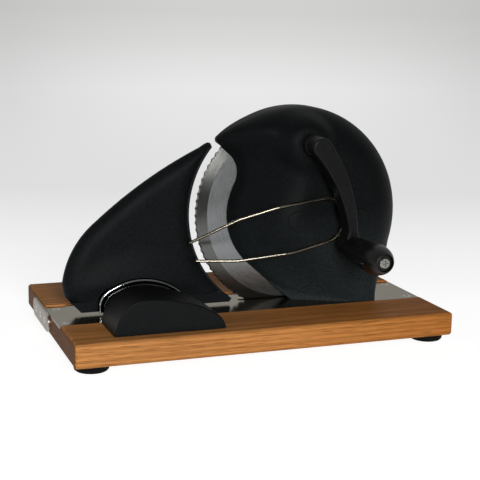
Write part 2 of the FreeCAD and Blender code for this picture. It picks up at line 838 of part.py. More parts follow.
def make_housing():
    outer = housing_form("housing_outer", as_size(0), cells.housing_front, cells.lip_back)
    outer = boolean("Fuse", "housing_on_base", outer, make_base())
    inner = housing_form("housing_inner", cells.wall, cells.housing_front + cells.wall, cells.housing_edge)
    floor = strip_top() + cells.floor_thick
    room = block("room_over_floor", (-100, -100, floor), (200, 20, 260))
    chamber = boolean("Common", "chamber", inner, [room])
    start = -60
    solid_parts = []
    shafts = (("crank_boss", crank_up(), cells.shaft_radius), ("axle_boss", 0, cells.axle_radius))
    for name, up, shaft in shafts:
        solid_parts.append(rod(name, from_blade(0, start, up), bush_radius(shaft) + cells.boss_wall,
                               cells.boss_back - start, BACKWARD))
    for number, (across, up) in enumerate(COVER_POSTS):
        solid_parts.append(rod("cover_post_%d" % number, from_blade(across, start, up),
                               cells.cover_post_radius, cells.housing_edge - start, BACKWARD))
    for number, (across, back) in enumerate(HOUSING_BOLTS):
        solid_parts.append(rod("bolt_boss_%d" % number, (across, back, strip_top()), cells.bolt_radius + 4,
                               cells.bolt_top + 3 - strip_top()))
    wire_across, _, wire_up = wire_clamp_screw()
    solid_parts.append(rod("wire_boss", (wire_across, start, wire_up), cells.bolt_radius + 1.5, 22, BACKWARD))
    posts = boolean("Fuse", "bosses", solid_parts[0], solid_parts[1:])
    hollow = boolean("Cut", "chamber_round_bosses", chamber, posts)

    hump = new_body("crank_hump", from_blade(0, cells.housing_front, crank_up()))
    rise = cells.hump_height
    spin(hump, "Revolution", "XY_Plane", "hump_turned", [
        (0, 2), (cells.hump_radius + 4, 2), (cells.hump_radius + 4, 0), (cells.hump_radius, 0, 9),
        (cells.hump_top + 0.8, -rise), (0, -rise),
    ])
    badge = new_body("bare_badge", from_blade(cells.badge_x, 0, cells.badge_z))
    badge_front = cells.housing_front - cells.badge_rise
    extrude(badge, "Pad", "XZ_Plane", "badge_oval", badge_front, cells.badge_rise + 1,
            [slot_outline(as_size(0), as_size(0), cells.badge_length, cells.badge_height)])
    outside = boolean("Fuse", "housing_outside", outer, [hump, badge])

    cuts = [hollow]
    axle_start = cells.housing_front + AXLE_COVER
    cuts.append(rod("blade_recess", from_blade(0, cells.housing_edge, 0), cells.lip_inner, 30, BACKWARD))
    cuts.append(rod("crank_bore", from_blade(0, start, crank_up()), bush_radius(cells.shaft_radius),
                    50, BACKWARD))
    cuts.append(rod("axle_bore", from_blade(0, axle_start, 0), bush_radius(cells.axle_radius), 40, BACKWARD))
    for number, (across, up) in enumerate(COVER_POSTS):
        cuts.append(rod("post_pilot_%d" % number, from_blade(across, -19.4, up), 1.5, 12, BACKWARD))
    for number, (across, back) in enumerate(HOUSING_BOLTS):
        cuts.append(rod("bolt_thread_%d" % number, (across, back, 20), cells.bolt_radius, cells.bolt_top - 20))
    cuts.append(rod("wire_pilot", (wire_across, start, wire_up), 1.75, 20, BACKWARD))
    hollows = boolean("Fuse", "housing_cuts", cuts[0], cuts[1:])
    keep("housing", boolean("Cut", "housing_shell", outside, hollows))

    bolts = [screw("housing_bolt_%d" % number, (across, back, BOLT_HEAD_UP), DOWNWARD,
                   cells.bolt_radius + 2.4, 5.4, cells.bolt_radius, cells.bolt_top - 8)
             for number, (across, back) in enumerate(HOUSING_BOLTS)]
    group("housing_bolts", bolts)


def make_gear_cover():
    body = new_body("gear_cover", (cells.blade_x, 0, cells.blade_z))
    extrude(body, "Pad", "XZ_Plane", "cover_plate", cells.housing_edge, cells.cover_thick,
            [bulge_outline(as_size(1.2))])
    doc.recompute()
    round_plate = rod("cover_round", from_blade(0, cells.housing_edge - 1, 0), cells.lip_inner - 0.6,
                      10, BACKWARD)
    room = block("cover_room", (-100, -40, strip_top() + 0.8), (200, 20, 260))
    plate = boolean("Common", "cover_form", body, [round_plate, room])
    holes = [rod("cover_centre", from_blade(0, -20, 0), cells.axle_radius + 5, 20, BACKWARD)]
    screws = []
    for number, (across, up) in enumerate(COVER_POSTS):
        holes.append(rod("cover_hole_%d" % number, from_blade(across, -20, up), 1.5, 20, BACKWARD))
        at = from_blade(across, cells.housing_edge + cells.cover_thick + 1.8, up)
        screws.append(screw("cover_screw_%d" % number, at, BACKWARD, 3, 1.8, 1.5, 10))
    drills = boolean("Fuse", "cover_holes", holes[0], holes[1:])
    keep("gear_cover", boolean("Cut", "drilled_cover", plate, drills))
    group("gear_cover_screws", screws)


def ring(label, at, inner, outer, length, chamfer=0.4):
    """A bush, collar or washer about an axis that runs to the back."""
    body = new_body(label, at)
    outer = as_size(outer)
    length = as_size(length)
    spin(body, "Revolution", "XY_Plane", label + "_turned", [
        (inner, 0), (outer - chamfer, 0), (outer, chamfer), (outer, length - chamfer),
        (outer - chamfer, length), (inner, length),
    ])
    return keep(label, body)


def make_bushes():
    front = cells.housing_front - cells.hump_height
    ring("crank_bush", from_blade(0, front, crank_up()), cells.shaft_radius + cells.running_play,
         bush_radius(cells.shaft_radius), cells.boss_back - front)
    start = cells.housing_front + AXLE_COVER
    ring("axle_bush", from_blade(0, start, 0), cells.axle_radius + cells.running_play,
         bush_radius(cells.axle_radius), cells.boss_back - start)


def gear_face(teeth, bore, turn):
    """Outline of an involute spur gear as a face in the plane of X and Z, with its bore."""
    module = cells.gear_module.number
    pitch = module * teeth / 2
    base = pitch * math.cos(math.radians(20))
    tip = pitch + module
    foot = pitch - 1.25 * module
    thin = cells.gear_play.number / pitch / 2
    half_tooth = math.pi / 2 / teeth - thin + math.tan(math.radians(20)) - math.radians(20)

    def spot(radius, angle):
        return FreeCAD.Vector(radius * math.cos(angle), 0, radius * math.sin(angle))

    def flank_angle(radius):
        if radius <= base:
            return 0
        slope = math.acos(base / radius)
        return math.tan(slope) - slope

    edges = []
    step = 2 * math.pi / teeth
    start = max(base, foot + 0.1)
    radii = [start + (tip - start) * share for share in (0, 0.2, 0.55, 1)]
    for tooth in range(teeth):
        middle = turn + tooth * step
        rising = [spot(radius, middle - half_tooth + flank_angle(radius)) for radius in radii]
        falling = [spot(radius, middle + half_tooth - flank_angle(radius)) for radius in reversed(radii)]
        foot_start = spot(foot, middle - half_tooth)
        foot_end = spot(foot, middle + half_tooth)
        next_foot = spot(foot, middle + step - half_tooth)
        gap_middle = spot(foot, middle + step / 2)
        for points in (rising, falling):
            curve = Part.BSplineCurve()
            curve.interpolate(points)
            if points is rising:
                edges.append(Part.makeLine(foot_start, points[0]))
            edges.append(curve.toShape())
            if points is rising:
                edges.append(Part.Arc(rising[-1], spot(tip, middle), falling[0]).toShape())
        edges.append(Part.makeLine(falling[-1], foot_end))
        edges.append(Part.Arc(foot_end, gap_middle, next_foot).toShape())
    outline = Part.Wire(edges)
    hole = Part.Wire(Part.makeCircle(bore, FreeCAD.Vector(), FreeCAD.Vector(0, 1, 0)))
    return Part.Face([outline, hole])


def gear(label, at, teeth, bore, turn):
    feature = doc.addObject("Part::Feature", label)
    feature.Shape = gear_face(teeth, bore.number, turn).extrude(FreeCAD.Vector(0, cells.gear_width.number, 0))
    place(feature, at)
    return keep(label, feature)


def make_gears():
    wheel_teeth = int(cells.wheel_teeth.number)
    pinion_teeth = int(cells.pinion_teeth.number)
    upright = math.pi / 2
    gear("blade_gear", from_blade(0, cells.gear_front, 0), wheel_teeth, cells.axle_radius, upright)
    half_pitch = math.pi / pinion_teeth
    gear("crank_gear", from_blade(0, cells.gear_front, crank_up()), pinion_teeth, cells.shaft_radius,
         -upright + half_pitch)


def make_blade():
    front = cells.blade_front
    thick = cells.blade_thick
    edge = cells.edge_thick
    radius = cells.blade_radius
    body = new_body("blade", from_blade(0, front, 0))
    spin(body, "Revolution", "XY_Plane", "ground_disc", [
        (cells.blade_bore, 0), (radius - cells.bevel_width, 0), (radius, thick - edge), (radius, thick),
        (cells.blade_bore, thick),
    ])
    doc.recompute()
    count = int(cells.tooth_count.number)
    half_chord = cells.blade_radius.number * math.sin(math.pi / count)
    depth = cells.tooth_depth.number
    scallop = (half_chord ** 2 + depth ** 2) / (2 * depth)
    centre = radius * math.cos(math.pi / count) - depth + scallop
    cut = extrude(body, "Pocket", "XZ_Plane", "scallop", -1, 4, [], [(centre, 0, scallop)])
    pattern = body.newObject("PartDesign::PolarPattern", "scallops")
    pattern.Originals = [cut]
    axis = next(item for item in body.Origin.OriginFeatures if item.Role == "Y_Axis")
    pattern.Axis = (axis, [""])
    pattern.Angle = 360
    bind(pattern, "Occurrences", cells.tooth_count)
    body.Tip = pattern
    keep("blade", body)

    axle_front = cells.housing_front + AXLE_COVER + 1
    back = front + thick
    body = new_body("blade_axle", from_blade(0, axle_front, 0))
    length = back - 0.3 - axle_front
    hole = 4
    spin(body, "Revolution", "XY_Plane", "axle_turned", [
        (0, 0), (cells.axle_radius - 1, 0), (cells.axle_radius, 1), (cells.axle_radius, length),
        (hole, length), (hole, length - 22), (0, length - 22),
    ])
    keep("blade_axle", body)

    flange_front = cells.housing_edge + cells.cover_thick + 0.9
    body = new_body("blade_flange", from_blade(0, flange_front, 0))
    depth = front - flange_front
    spin(body, "Revolution", "XY_Plane", "flange_turned", [
        (cells.axle_radius, 0), (14, 0), (14, 1.4), (27, 2.2), (28, 3), (28, depth),
        (cells.blade_bore, depth), (cells.blade_bore, depth + thick), (cells.axle_radius, depth + thick),
    ])
    keep("blade_flange", body)
    ring("blade_washer", from_blade(0, back, 0), as_size(4), 17, 2)
    keep("blade_screw", screw("blade_screw", from_blade(0, back + 2 + 4.5, 0), BACKWARD, 9, 4.5, 4, 24))


def make_crank():
    shaft = cells.shaft_radius
    arm_back = cells.arm_front + cells.arm_thick
    shaft_front = cells.arm_front + 4
    shaft_back = cells.gear_front + cells.gear_width + 1
    at = from_blade(0, shaft_front, crank_up())
    body = new_body("crank_shaft", at)
    length = shaft_back - shaft_front
    spin(body, "Revolution", "XY_Plane", "shaft_turned", [
        (0, 0), (shaft - 0.6, 0), (shaft, 0.6), (shaft, length), (0, length),
    ])
    keep("crank_shaft", body)
    bush_front = cells.housing_front - cells.hump_height
    ring("crank_collar", from_blade(0, arm_back, crank_up()), shaft, 9.6, bush_front - 0.4 - arm_back)

    head_x = cells.blade_x
    head_z = cells.blade_z + crank_up()
    foot_x = cells.grip_x
    foot_z = cells.grip_z
    head = cells.arm_head
    foot = cells.arm_foot
    body = new_body("crank_arm")
    outline = [
        (head_x - head, head_z, -head), (head_x, head_z + head, -head),
        (head_x + head * 0.82, head_z + head * 0.57, -150), (foot_x + cells.arm_waist, foot_z + 17),
        (foot_x + foot, foot_z, -foot), (foot_x, foot_z - foot, -foot), (foot_x - foot, foot_z),
        (foot_x - cells.arm_waist, foot_z + 17, 140), (head_x - head * 0.66, head_z - head * 0.75, -head),
    ]
    pad = extrude(body, "Pad", "XZ_Plane", "arm_run", cells.arm_front, cells.arm_thick, [outline],
                  [(foot_x, foot_z, cells.pin_radius)])
    at_front = lies_at("y", cells.arm_front.number)
    round_edges(body, pad, "arm_softened", cells.arm_round,
                lambda edge: at_front(edge) and len(edge.Vertexes) > 1)
    shaft_hole = rod("arm_shaft_hole", at, shaft, 30, BACKWARD)
    screw_hole = rod("arm_screw_hole", (head_x, cells.arm_front + 10, head_z), 2, 20)
    holes = boolean("Fuse", "arm_holes", shaft_hole, [screw_hole])
    keep("crank_arm", boolean("Cut", "drilled_arm", body, holes))
    keep("arm_set_screw", screw("arm_set_screw", (head_x, cells.arm_front + 10, head_z + head - 0.4), UPRIGHT,
                                2, 1, 2, head - shaft - 0.5, True, 1.2))


def make_grip():
    start = cells.arm_front - cells.grip_gap
    end = cells.grip_length
    body = new_body("grip", (cells.grip_x, start, cells.grip_z), DOWNWARD)
    bore = cells.pin_radius + cells.running_play
    rim = 7.6
    recess = 3.6
    spin(body, "Revolution", "XY_Plane", "grip_turned", [
        (bore, 0), (cells.grip_root - 1.2, 0, 1.5), (cells.grip_root, 1.2, 600),
        (cells.grip_radius, end * 0.7, 31.5), (rim + 0.9, end - 0.5, 1), (rim, end),
        (rim, end - recess), (bore, end - recess),
    ])
    keep("grip", body)
    tip = start - end + recess - 0.35
    pin_back = cells.arm_front + cells.arm_thick - 1
    rod_pin = new_body("grip_pin", (cells.grip_x, tip, cells.grip_z))
    length = pin_back - tip
    spin(rod_pin, "Revolution", "XY_Plane", "pin_turned", [
        (2, 0), (cells.pin_radius - 0.4, 0), (cells.pin_radius, 0.4), (cells.pin_radius, length),
        (0, length), (0, 12), (2, 12),
    ])
    keep("grip_pin", rod_pin)
    washer = 1.2
    head = 1.9
    ring("grip_washer", (cells.grip_x, tip - washer, cells.grip_z), 2, 7, washer, 0.3)
    keep("grip_screw", screw("grip_screw", (cells.grip_x, tip - washer - head, cells.grip_z), FORWARD,
                             4.75, head, 2, 13))


def bent_wire(points, radii):
    """Straight runs joined by tangent arcs through corner points."""
    edges = []
    last = points[0]
    for before, corner, after, radius in zip(points, points[1:], points[2:], radii[1:]):
        inward = (before - corner).normalize()
        outward = (after - corner).normalize()
        half_angle = inward.getAngle(outward) / 2
        reach = radius / math.tan(half_angle)
        start = corner + inward * reach
        end = corner + outward * reach
        bisector = (inward + outward).normalize()
        top = corner + bisector * (radius / math.sin(half_angle) - radius)
        edges.append(Part.LineSegment(last, start).toShape())
        edges.append(Part.Arc(start, top, end).toShape())
        last = end
    edges.append(Part.LineSegment(last, points[-1]).toShape())
    return Part.Wire(edges)


def wire_clamp_screw():
    """Across, back and up of the screw that holds the wire's closed end, inside its loop."""
    across = WIRE_ROUTE[3][0] + 5
    up = (WIRE_ROUTE[3][2] + WIRE_ROUTE[4][2]) / 2
    return across, cells.wire_y - 5.5, up


def make_deflector():
    points = [FreeCAD.Vector(*corner[:3]) for corner in WIRE_ROUTE]
    path = bent_wire(points, [corner[3] for corner in WIRE_ROUTE])
    radius = cells.wire_radius.number
    circle = Part.Wire(Part.makeCircle(radius, points[0], points[1] - points[0]))
    wire = doc.addObject("Part::Feature", "deflector_wire")
    wire.Shape = path.makePipeShell([circle], True, True)
    ends = []
    for tip in (points[0], points[-1]):
        ends.append(Part.makeSphere(radius, tip))
    wire.Shape = wire.Shape.fuse(ends).removeSplitter()
    place(wire, (0, 0, 0))
    keep("deflector_wire", wire)
    across, back, up = wire_clamp_screw()
    clamp = block("clamp_block", (across - 8.2, cells.wire_y - 3.5, up - 5),
                  (across + 4, cells.housing_front - cells.badge_rise, up + 5))
    hole = rod("clamp_hole", (across, back - 10, up), 1.75, 30, BACKWARD)
    cuts = boolean("Fuse", "clamp_cuts", wire, [hole])
    keep("deflector_clamp", boolean("Cut", "grooved_clamp", clamp, cuts))
    keep("deflector_screw", screw("deflector_screw", (across, back, up), FORWARD, 3.2, 2, 1.75, 17))


def shrunk(share, centre):
    """The stop plate's outline drawn in towards a point."""
    corners = []
    for across, up, radius in STOP_OUTLINE:
        spot = (centre[0] + (across - centre[0]) * share, centre[1] + (up - centre[1]) * share)
        corners.append(spot if radius is None else (*spot, radius * share))
    return corners


def stop_loft(body, kind, name, layers, centre):
    sketches = []
    back = cells.guide_face_y - cells.guide_face_thick
    for number, (depth, share) in enumerate(layers):
        sketch = new_sketch(body, "XZ_Plane", "%s_%d" % (name, number), back - depth)
        draw(sketch, shrunk(share, centre))
        sketches.append(sketch)
    feature = body.newObject("PartDesign::" + kind, name)
    feature.Profile = sketches[0]
    feature.Sections = sketches[1:]
    feature.Ruled = True
    return feature


def arch_outline(profile, left, right, top):
    """An arched profile between two sides and under a top."""
    width = right - left
    height = top - cells.block_bottom
    corners = []
    for across, up, radius in profile:
        spot = (left + width * across, cells.block_bottom + height * up)
        corners.append(spot if radius is None else (*spot, -width * radius))
    return corners


def bezel_outline(inset):
    left = cells.bezel_left + inset
    right = cells.bezel_right - inset
    return arch_outline(BEZEL_ARCH, left, right, cells.bezel_top - inset)


def make_stop():
    body = new_body("stop_plate")
    stop_loft(body, "AdditiveLoft", "pillow", STOP_LAYERS, STOP_CENTRE)
    back = cells.guide_face_y - cells.guide_face_thick
    front = cells.stop_front - cells.flange_rise
    extrude(body, "Pad", "XZ_Plane", "flange", front, cells.flange_thick, [[
        (-151, cells.stop_bottom), (-10.5, cells.stop_bottom), (-7.6, 31.5), (-14, cells.flange_top),
        (-161.4, cells.flange_top),
    ]])
    stop_loft(body, "SubtractiveLoft", "hollow", STOP_HOLLOW, STOP_HOLLOW_CENTRE)
    neck_back = cells.stop_front + 2.5
    extrude(body, "Pocket", "XZ_Plane", "neck_recess", front - 1, neck_back - front + 1,
            [bezel_outline(as_size(-1.8))])
    doc.recompute()
    holes = []
    screws = []
    for number, across in enumerate(NECK_SCREWS):
        holes.append(rod("neck_screw_hole_%d" % number, (across, -20, NECK_SCREW_UP), 2, 20, BACKWARD))
        at = (across, cells.guide_face_y - 2.3, NECK_SCREW_UP)
        screws.append(screw("neck_screw_%d" % number, at, BACKWARD, 4, 2, 2, 20))
    drills = boolean("Fuse", "stop_holes", holes[0], holes[1:])
    keep("stop_plate", boolean("Cut", "drilled_stop", body, drills))
    group("neck_screws", screws)

    body = new_body("guide_face")
    extrude(body, "Pad", "XZ_Plane", "guide_sheet", back, cells.guide_face_thick, [shrunk(1, STOP_CENTRE)])
    keep("guide_face", body)

    body = new_body("chrome_bezel")
    extrude(body, "Pad", "XZ_Plane", "bezel_run", cells.bezel_front, neck_back - cells.bezel_front,
            [bezel_outline(as_size(0))])
    extrude(body, "Pocket", "XZ_Plane", "bezel_hole", cells.bezel_front - 1, 20,
            [bezel_outline(cells.bezel_band)])
    keep("chrome_bezel", body)

    body = new_body("thickness_block")
    profile = arch_outline(ARCH, cells.block_left, cells.block_right, cells.block_top)
    grip = extrude(body, "Pad", "XZ_Plane", "grip_run", cells.block_front, cells.block_back - cells.block_front,
                   [profile])
    ends = [lies_at("y", cells.block_front.number), lies_at("y", cells.block_back.number)]
    low = cells.block_bottom.number + 1
    round_edges(body, grip, "grip_softened", 1.2,
                lambda edge: edge.CenterOfMass.z > low and any(test(edge) for test in ends))
    extrude(body, "Pad", "XZ_Plane", "neck", cells.block_back - 10, neck_back - cells.block_back + 10,
            [bezel_outline(cells.bezel_band + 0.2)])
    post_holes = []
    for across in (cells.post_left, cells.post_right):
        half_wide = cells.post_width / 2 + 0.1
        half_deep = cells.post_depth / 2 + 0.1
        post_holes.append(box_outline(across - half_wide, across + half_wide,
                                      cells.post_y - half_deep, cells.post_y + half_deep))
    extrude_up(body, "post_holes", cells.block_bottom, cells.post_top + 0.2, post_holes)
    doc.recompute()
    holes = []
    for number, across in enumerate(NECK_SCREWS):
        holes.append(rod("neck_pilot_%d" % number, (across, -30, NECK_SCREW_UP), 2, 30, BACKWARD))
    for number, across in enumerate((cells.post_left, cells.post_right)):
        holes.append(rod("post_pilot_up_%d" % number, (across, cells.post_y, 30), 1.75, 15))
    drills = boolean("Fuse", "block_holes", holes[0], holes[1:])
    keep("thickness_block", boolean("Cut", "drilled_block", body, drills))


def make_carriage():
    half = cells.carriage_half
    body = new_body("stop_carriage")
    extrude(body, "Pad", "XY_Plane", "carriage_slab", cells.rod_z - half, half * 2,
            [box_outline(cells.pocket_left + 3, cells.pocket_right - 3,
                         cells.carriage_front, cells.carriage_back)])
    posts = []
    for across in (cells.post_left, cells.post_right):
        posts.append(box_outline(across - cells.post_width / 2, across + cells.post_width / 2,
                                 cells.post_y - cells.post_depth / 2, cells.post_y + cells.post_depth / 2))
    extrude(body, "Pad", "XY_Plane", "posts", cells.rod_z, cells.post_top - cells.rod_z, posts)
    doc.recompute()
    holes = []
    screws = []
    bottom = cells.rod_z - half
    for number, across in enumerate((cells.rod_left, cells.rod_right)):
        holes.append(rod("carriage_bore_%d" % number, (across, -70, cells.rod_z),
                         cells.rod_radius + cells.running_play, 100, BACKWARD))
    for number, across in enumerate((cells.post_left, cells.post_right)):
        holes.append(rod("post_bore_%d" % number, (across, cells.post_y, 0), 1.75, 50))
        holes.append(rod("post_seat_%d" % number, (across, cells.post_y, 0), 3.4, bottom + 3))
        screws.append(screw("post_screw_%d" % number, (across, cells.post_y, bottom + 0.6), DOWNWARD,
                            3.4, 2.4, 1.75, 34))
    keep("stop_carriage", boolean("Cut", "drilled_carriage", body,
                                  boolean("Fuse", "carriage_holes", holes[0], holes[1:])))
    group("post_screws", screws)
    start = cells.pocket_front - cells.rod_end
    length = cells.pocket_back + cells.rod_end - start
    for name, across in (("guide_rod_left", cells.rod_left), ("guide_rod_right", cells.rod_right)):
        keep(name, rod(name, (across, start, cells.rod_z), cells.rod_radius, length, BACKWARD))
    clamps = []
    for number, middle in enumerate(clamp_middles()):
        left, right, front, back = clamp_span(middle, 0)
        clamp_top = cells.rod_z - cells.rod_radius
        bar = block("clamp_bar_%d" % number, (left, front, clamp_top - 3), (right, back, clamp_top))
        drills = [rod("bar_hole_%d_%d" % (number, side), (across, middle, 0), 1.5, 20)
                  for side, across in enumerate((cells.rod_left - 10, cells.rod_right + 10))]
        holes = boolean("Fuse", "bar_holes_%d" % number, drills[0], drills[1:])
        clamps.append(boolean("Cut", "drilled_bar_%d" % number, bar, holes))
    group("rod_clamps", clamps)
    low = cells.rod_z - cells.rod_radius - 3
    screws = [screw("clamp_screw_%d" % number, (across, back, low - 1.8), DOWNWARD, 3, 1.8, 1.5, 11)
              for number, (across, back) in enumerate(clamp_screw_places())]
    group("rod_clamp_screws", screws)


def check_and_write():
    doc.recompute()
    failed = [item.Name for item in doc.Objects if {"Invalid", "Error"} & set(item.State)]
    if failed:
        raise RuntimeError("failed objects: " + ", ".join(failed))
    for label, thing in sub_parts.items():
        shape = thing.Shape
        if shape.isNull() or not shape.isValid() or not shape.Solids:
            raise RuntimeError("bad shape: " + label)
    os.makedirs("parts", exist_ok=True)
    for label, thing in sub_parts.items():
        thing.Shape.exportStep("parts/%s.step" % label)
        box = thing.Shape.BoundBox
        print("%-20s %2d solids %10.0f mm3  x %7.1f %7.1f  y %7.1f %7.1f  z %6.1f %6.1f" % (
            label, len(thing.Shape.Solids), thing.Shape.Volume,
            box.XMin, box.XMax, box.YMin, box.YMax, box.ZMin, box.ZMax))


doc = FreeCAD.newDocument("bread_slicer")
cells = Sizes(doc)
sub_parts = {}
make_board()
make_strip()
make_end_plate()
make_feet()
make_housing()
make_gear_cover()
make_bushes()
make_gears()
make_blade()
make_crank()
make_grip()
make_deflector()
make_stop()
make_carriage()
check_and_write()
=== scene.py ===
"""Hand crank bread slicer: finishes, detail pieces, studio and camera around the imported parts.

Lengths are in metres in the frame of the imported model. Shapes that repeat a drawing in millimetres go through
the function place, which moves them from the middle of the board.
"""

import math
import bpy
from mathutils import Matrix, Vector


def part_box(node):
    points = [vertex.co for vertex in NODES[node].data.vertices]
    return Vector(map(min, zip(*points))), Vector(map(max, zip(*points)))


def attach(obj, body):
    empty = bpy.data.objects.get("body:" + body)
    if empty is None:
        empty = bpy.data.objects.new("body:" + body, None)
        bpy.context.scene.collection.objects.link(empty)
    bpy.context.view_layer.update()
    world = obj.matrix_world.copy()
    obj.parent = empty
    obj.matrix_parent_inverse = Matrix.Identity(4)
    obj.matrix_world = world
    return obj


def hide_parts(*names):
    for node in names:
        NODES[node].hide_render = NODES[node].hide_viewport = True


bl_info = {
    "name": "Hand crank bread slicer",
    "version": (1, 0, 0),
    "blender": (4, 5, 0),
    "location": "3D View > Sidebar > Slicer",
    "description": "Dresses the packed bread slicer with its finishes, detail pieces and studio",
    "category": "Object",
}

import bmesh
import bpy
import numpy as np
from mathutils import Euler, Matrix, Vector
from mathutils.geometry import delaunay_2d_cdt

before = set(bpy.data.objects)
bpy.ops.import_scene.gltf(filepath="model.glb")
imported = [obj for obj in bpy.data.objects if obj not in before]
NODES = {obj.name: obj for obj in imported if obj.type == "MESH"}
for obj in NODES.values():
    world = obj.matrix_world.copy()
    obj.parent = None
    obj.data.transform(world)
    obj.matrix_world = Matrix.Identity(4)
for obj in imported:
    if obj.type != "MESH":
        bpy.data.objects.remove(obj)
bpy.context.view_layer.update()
MM = 0.001
BLACK, WHITE = (0, 0, 0, 1), (1, 1, 1, 1)


def middle(node):
    """The centre of a part's box."""
    low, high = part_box(node)
    return (low + high) / 2


# Middle of the board on the floor, from which the drawings in millimetres are given
BOARD = Vector((middle("base_board").x, middle("base_board").y, 0))
BLADE_AXIS = middle("blade")
BLADE_LOW, BLADE_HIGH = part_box("blade")


def place(across, back, up):
    """A point of the drawing, in millimetres from the middle of the board, as a place in metres."""
    return BOARD + Vector((across, back, up)) * MM


def linear(code, alpha=1.0):
    """An sRGB hex colour as linear red, green, blue and alpha."""
    channels = [int(code[start:start + 2], 16) / 255 for start in (0, 2, 4)]
    return tuple(c / 12.92 if c <= 0.04045 else ((c + 0.055) / 1.055) ** 2.4 for c in channels) + (alpha,)


def colour(label, hint, code):
    return bpy.props.FloatVectorProperty(name=label, description=hint, subtype="COLOR", size=4, min=0, max=1,
                                         default=linear(code))


def length(label, hint, millimetres):
    return bpy.props.FloatProperty(name=label, description=hint, unit="LENGTH", subtype="DISTANCE",
                                   default=millimetres * MM)


class SlicerSizes(bpy.types.PropertyGroup):
    teeth: bpy.props.IntProperty(name="Teeth", description="Waves ground into the blade's edge", default=86)
    bevel: length("Bevel", "Width of the ground bevel behind the teeth", 12)
    tooth: length("Tooth depth", "How deep each wave cuts into the edge", 1.0)
    badge_line: length("Badge line", "Width of the raised line round the bare oval plate", 1.1)


class SlicerColours(bpy.types.PropertyGroup):
    oak_light: colour("Oak, light", "Early wood of the board", "d89557")
    oak_deep: colour("Oak, deep", "Darker wood towards the board's right end", "b06a28")
    oak_end: colour("Oak, end grain", "Dark end grain of the board", "5a2c05")
    oak_pore: colour("Oak, pores", "Open pores of the board", "6e431b")
    shell: colour("Shell", "Moulded housing and stop plate", "101314")
    arm: colour("Arm", "Satin crank arm", "0f0f0f")
    block: colour("Block", "Satin sides of the sliding block", "0a0b0a")
    grip: colour("Grip", "Knob of the crank", "080808")
    rubber: colour("Rubber", "Feet", "070706")
    sheet: colour("Strip", "Brushed strip and end plate", "b8b4aa")
    blade: colour("Blade", "Polished flat of the blade", "949798")
    bevel: colour("Bevel", "Ground bevel of the blade", "70716e")
    screw: colour("Screws", "Turned and plated steel", "a9a7a1")
    chrome: colour("Chrome", "Bezel", "c8cacc")
    wire: colour("Wire", "Polished wire of the deflector", "7a7468")
    bronze: colour("Bronze", "Sintered bushes", "8f6d3f")
    nylon: colour("Nylon", "Blade's gear", "dcd7c6")
    floor: colour("Floor", "Paper under and behind the slicer", "ffffff")
    floor_far: colour("Distance", "Background far off", "d1d1d0")
    floor_side: colour("Distance at the sides", "Background far off, towards the picture's sides", "c4c4c3")
    room: colour("Room", "Dim room in front of the paper, seen only in reflections", "686765")


def feed(node, inputs):
    """Fill a node's sockets: each takes another node's first output, a socket to link, or a value."""
    for name, value in inputs.items():
        if isinstance(value, bpy.types.Node):
            value = value.outputs[0]
        if isinstance(value, bpy.types.NodeSocket):
            node.id_data.links.new(value, node.inputs[name])
        else:
            node.inputs[name].default_value = value


def add(tree, kind, inputs=None, **settings):
    """Add a node with its settings and with what goes into its sockets."""
    node = tree.nodes.new("ShaderNode" + kind)
    for name, value in settings.items():
        setattr(node, name, value)
    feed(node, inputs or {})
    return node


def bare_tree(owner):
    """The emptied node tree of a material or world."""
    owner.use_nodes = True
    owner.node_tree.nodes.clear()
    return owner.node_tree


def shade(base, share):
    """A colour made darker, or lighter where the share is over 1."""
    return tuple(min(1, value * share) for value in base[:3]) + (1,)


def new_material(name, base, rough, metal=0.0, gloss=0.5, **more):
    """A material with one shader; returns it with its tree, the shader and the socket that gives each spot."""
    material = bpy.data.materials.new(name)
    tree = bare_tree(material)
    shader = add(tree, "BsdfPrincipled", {"Base Color": base, "Roughness": rough, "Metallic": metal,
                                          "Specular IOR Level": gloss, **more})
    add(tree, "OutputMaterial", {"Surface": shader})
    return material, tree, shader, add(tree, "TexCoord").outputs["Object"]


def ramp(tree, source, stops):
    """A colour ramp through (position, colour) stops."""
    node = add(tree, "ValToRGB", {"Fac": source})
    elements = node.color_ramp.elements
    while len(elements) < len(stops):
        elements.new(0.5)
    for element, (position, value) in zip(elements, stops):
        element.position = position
        element.color = value
    return node


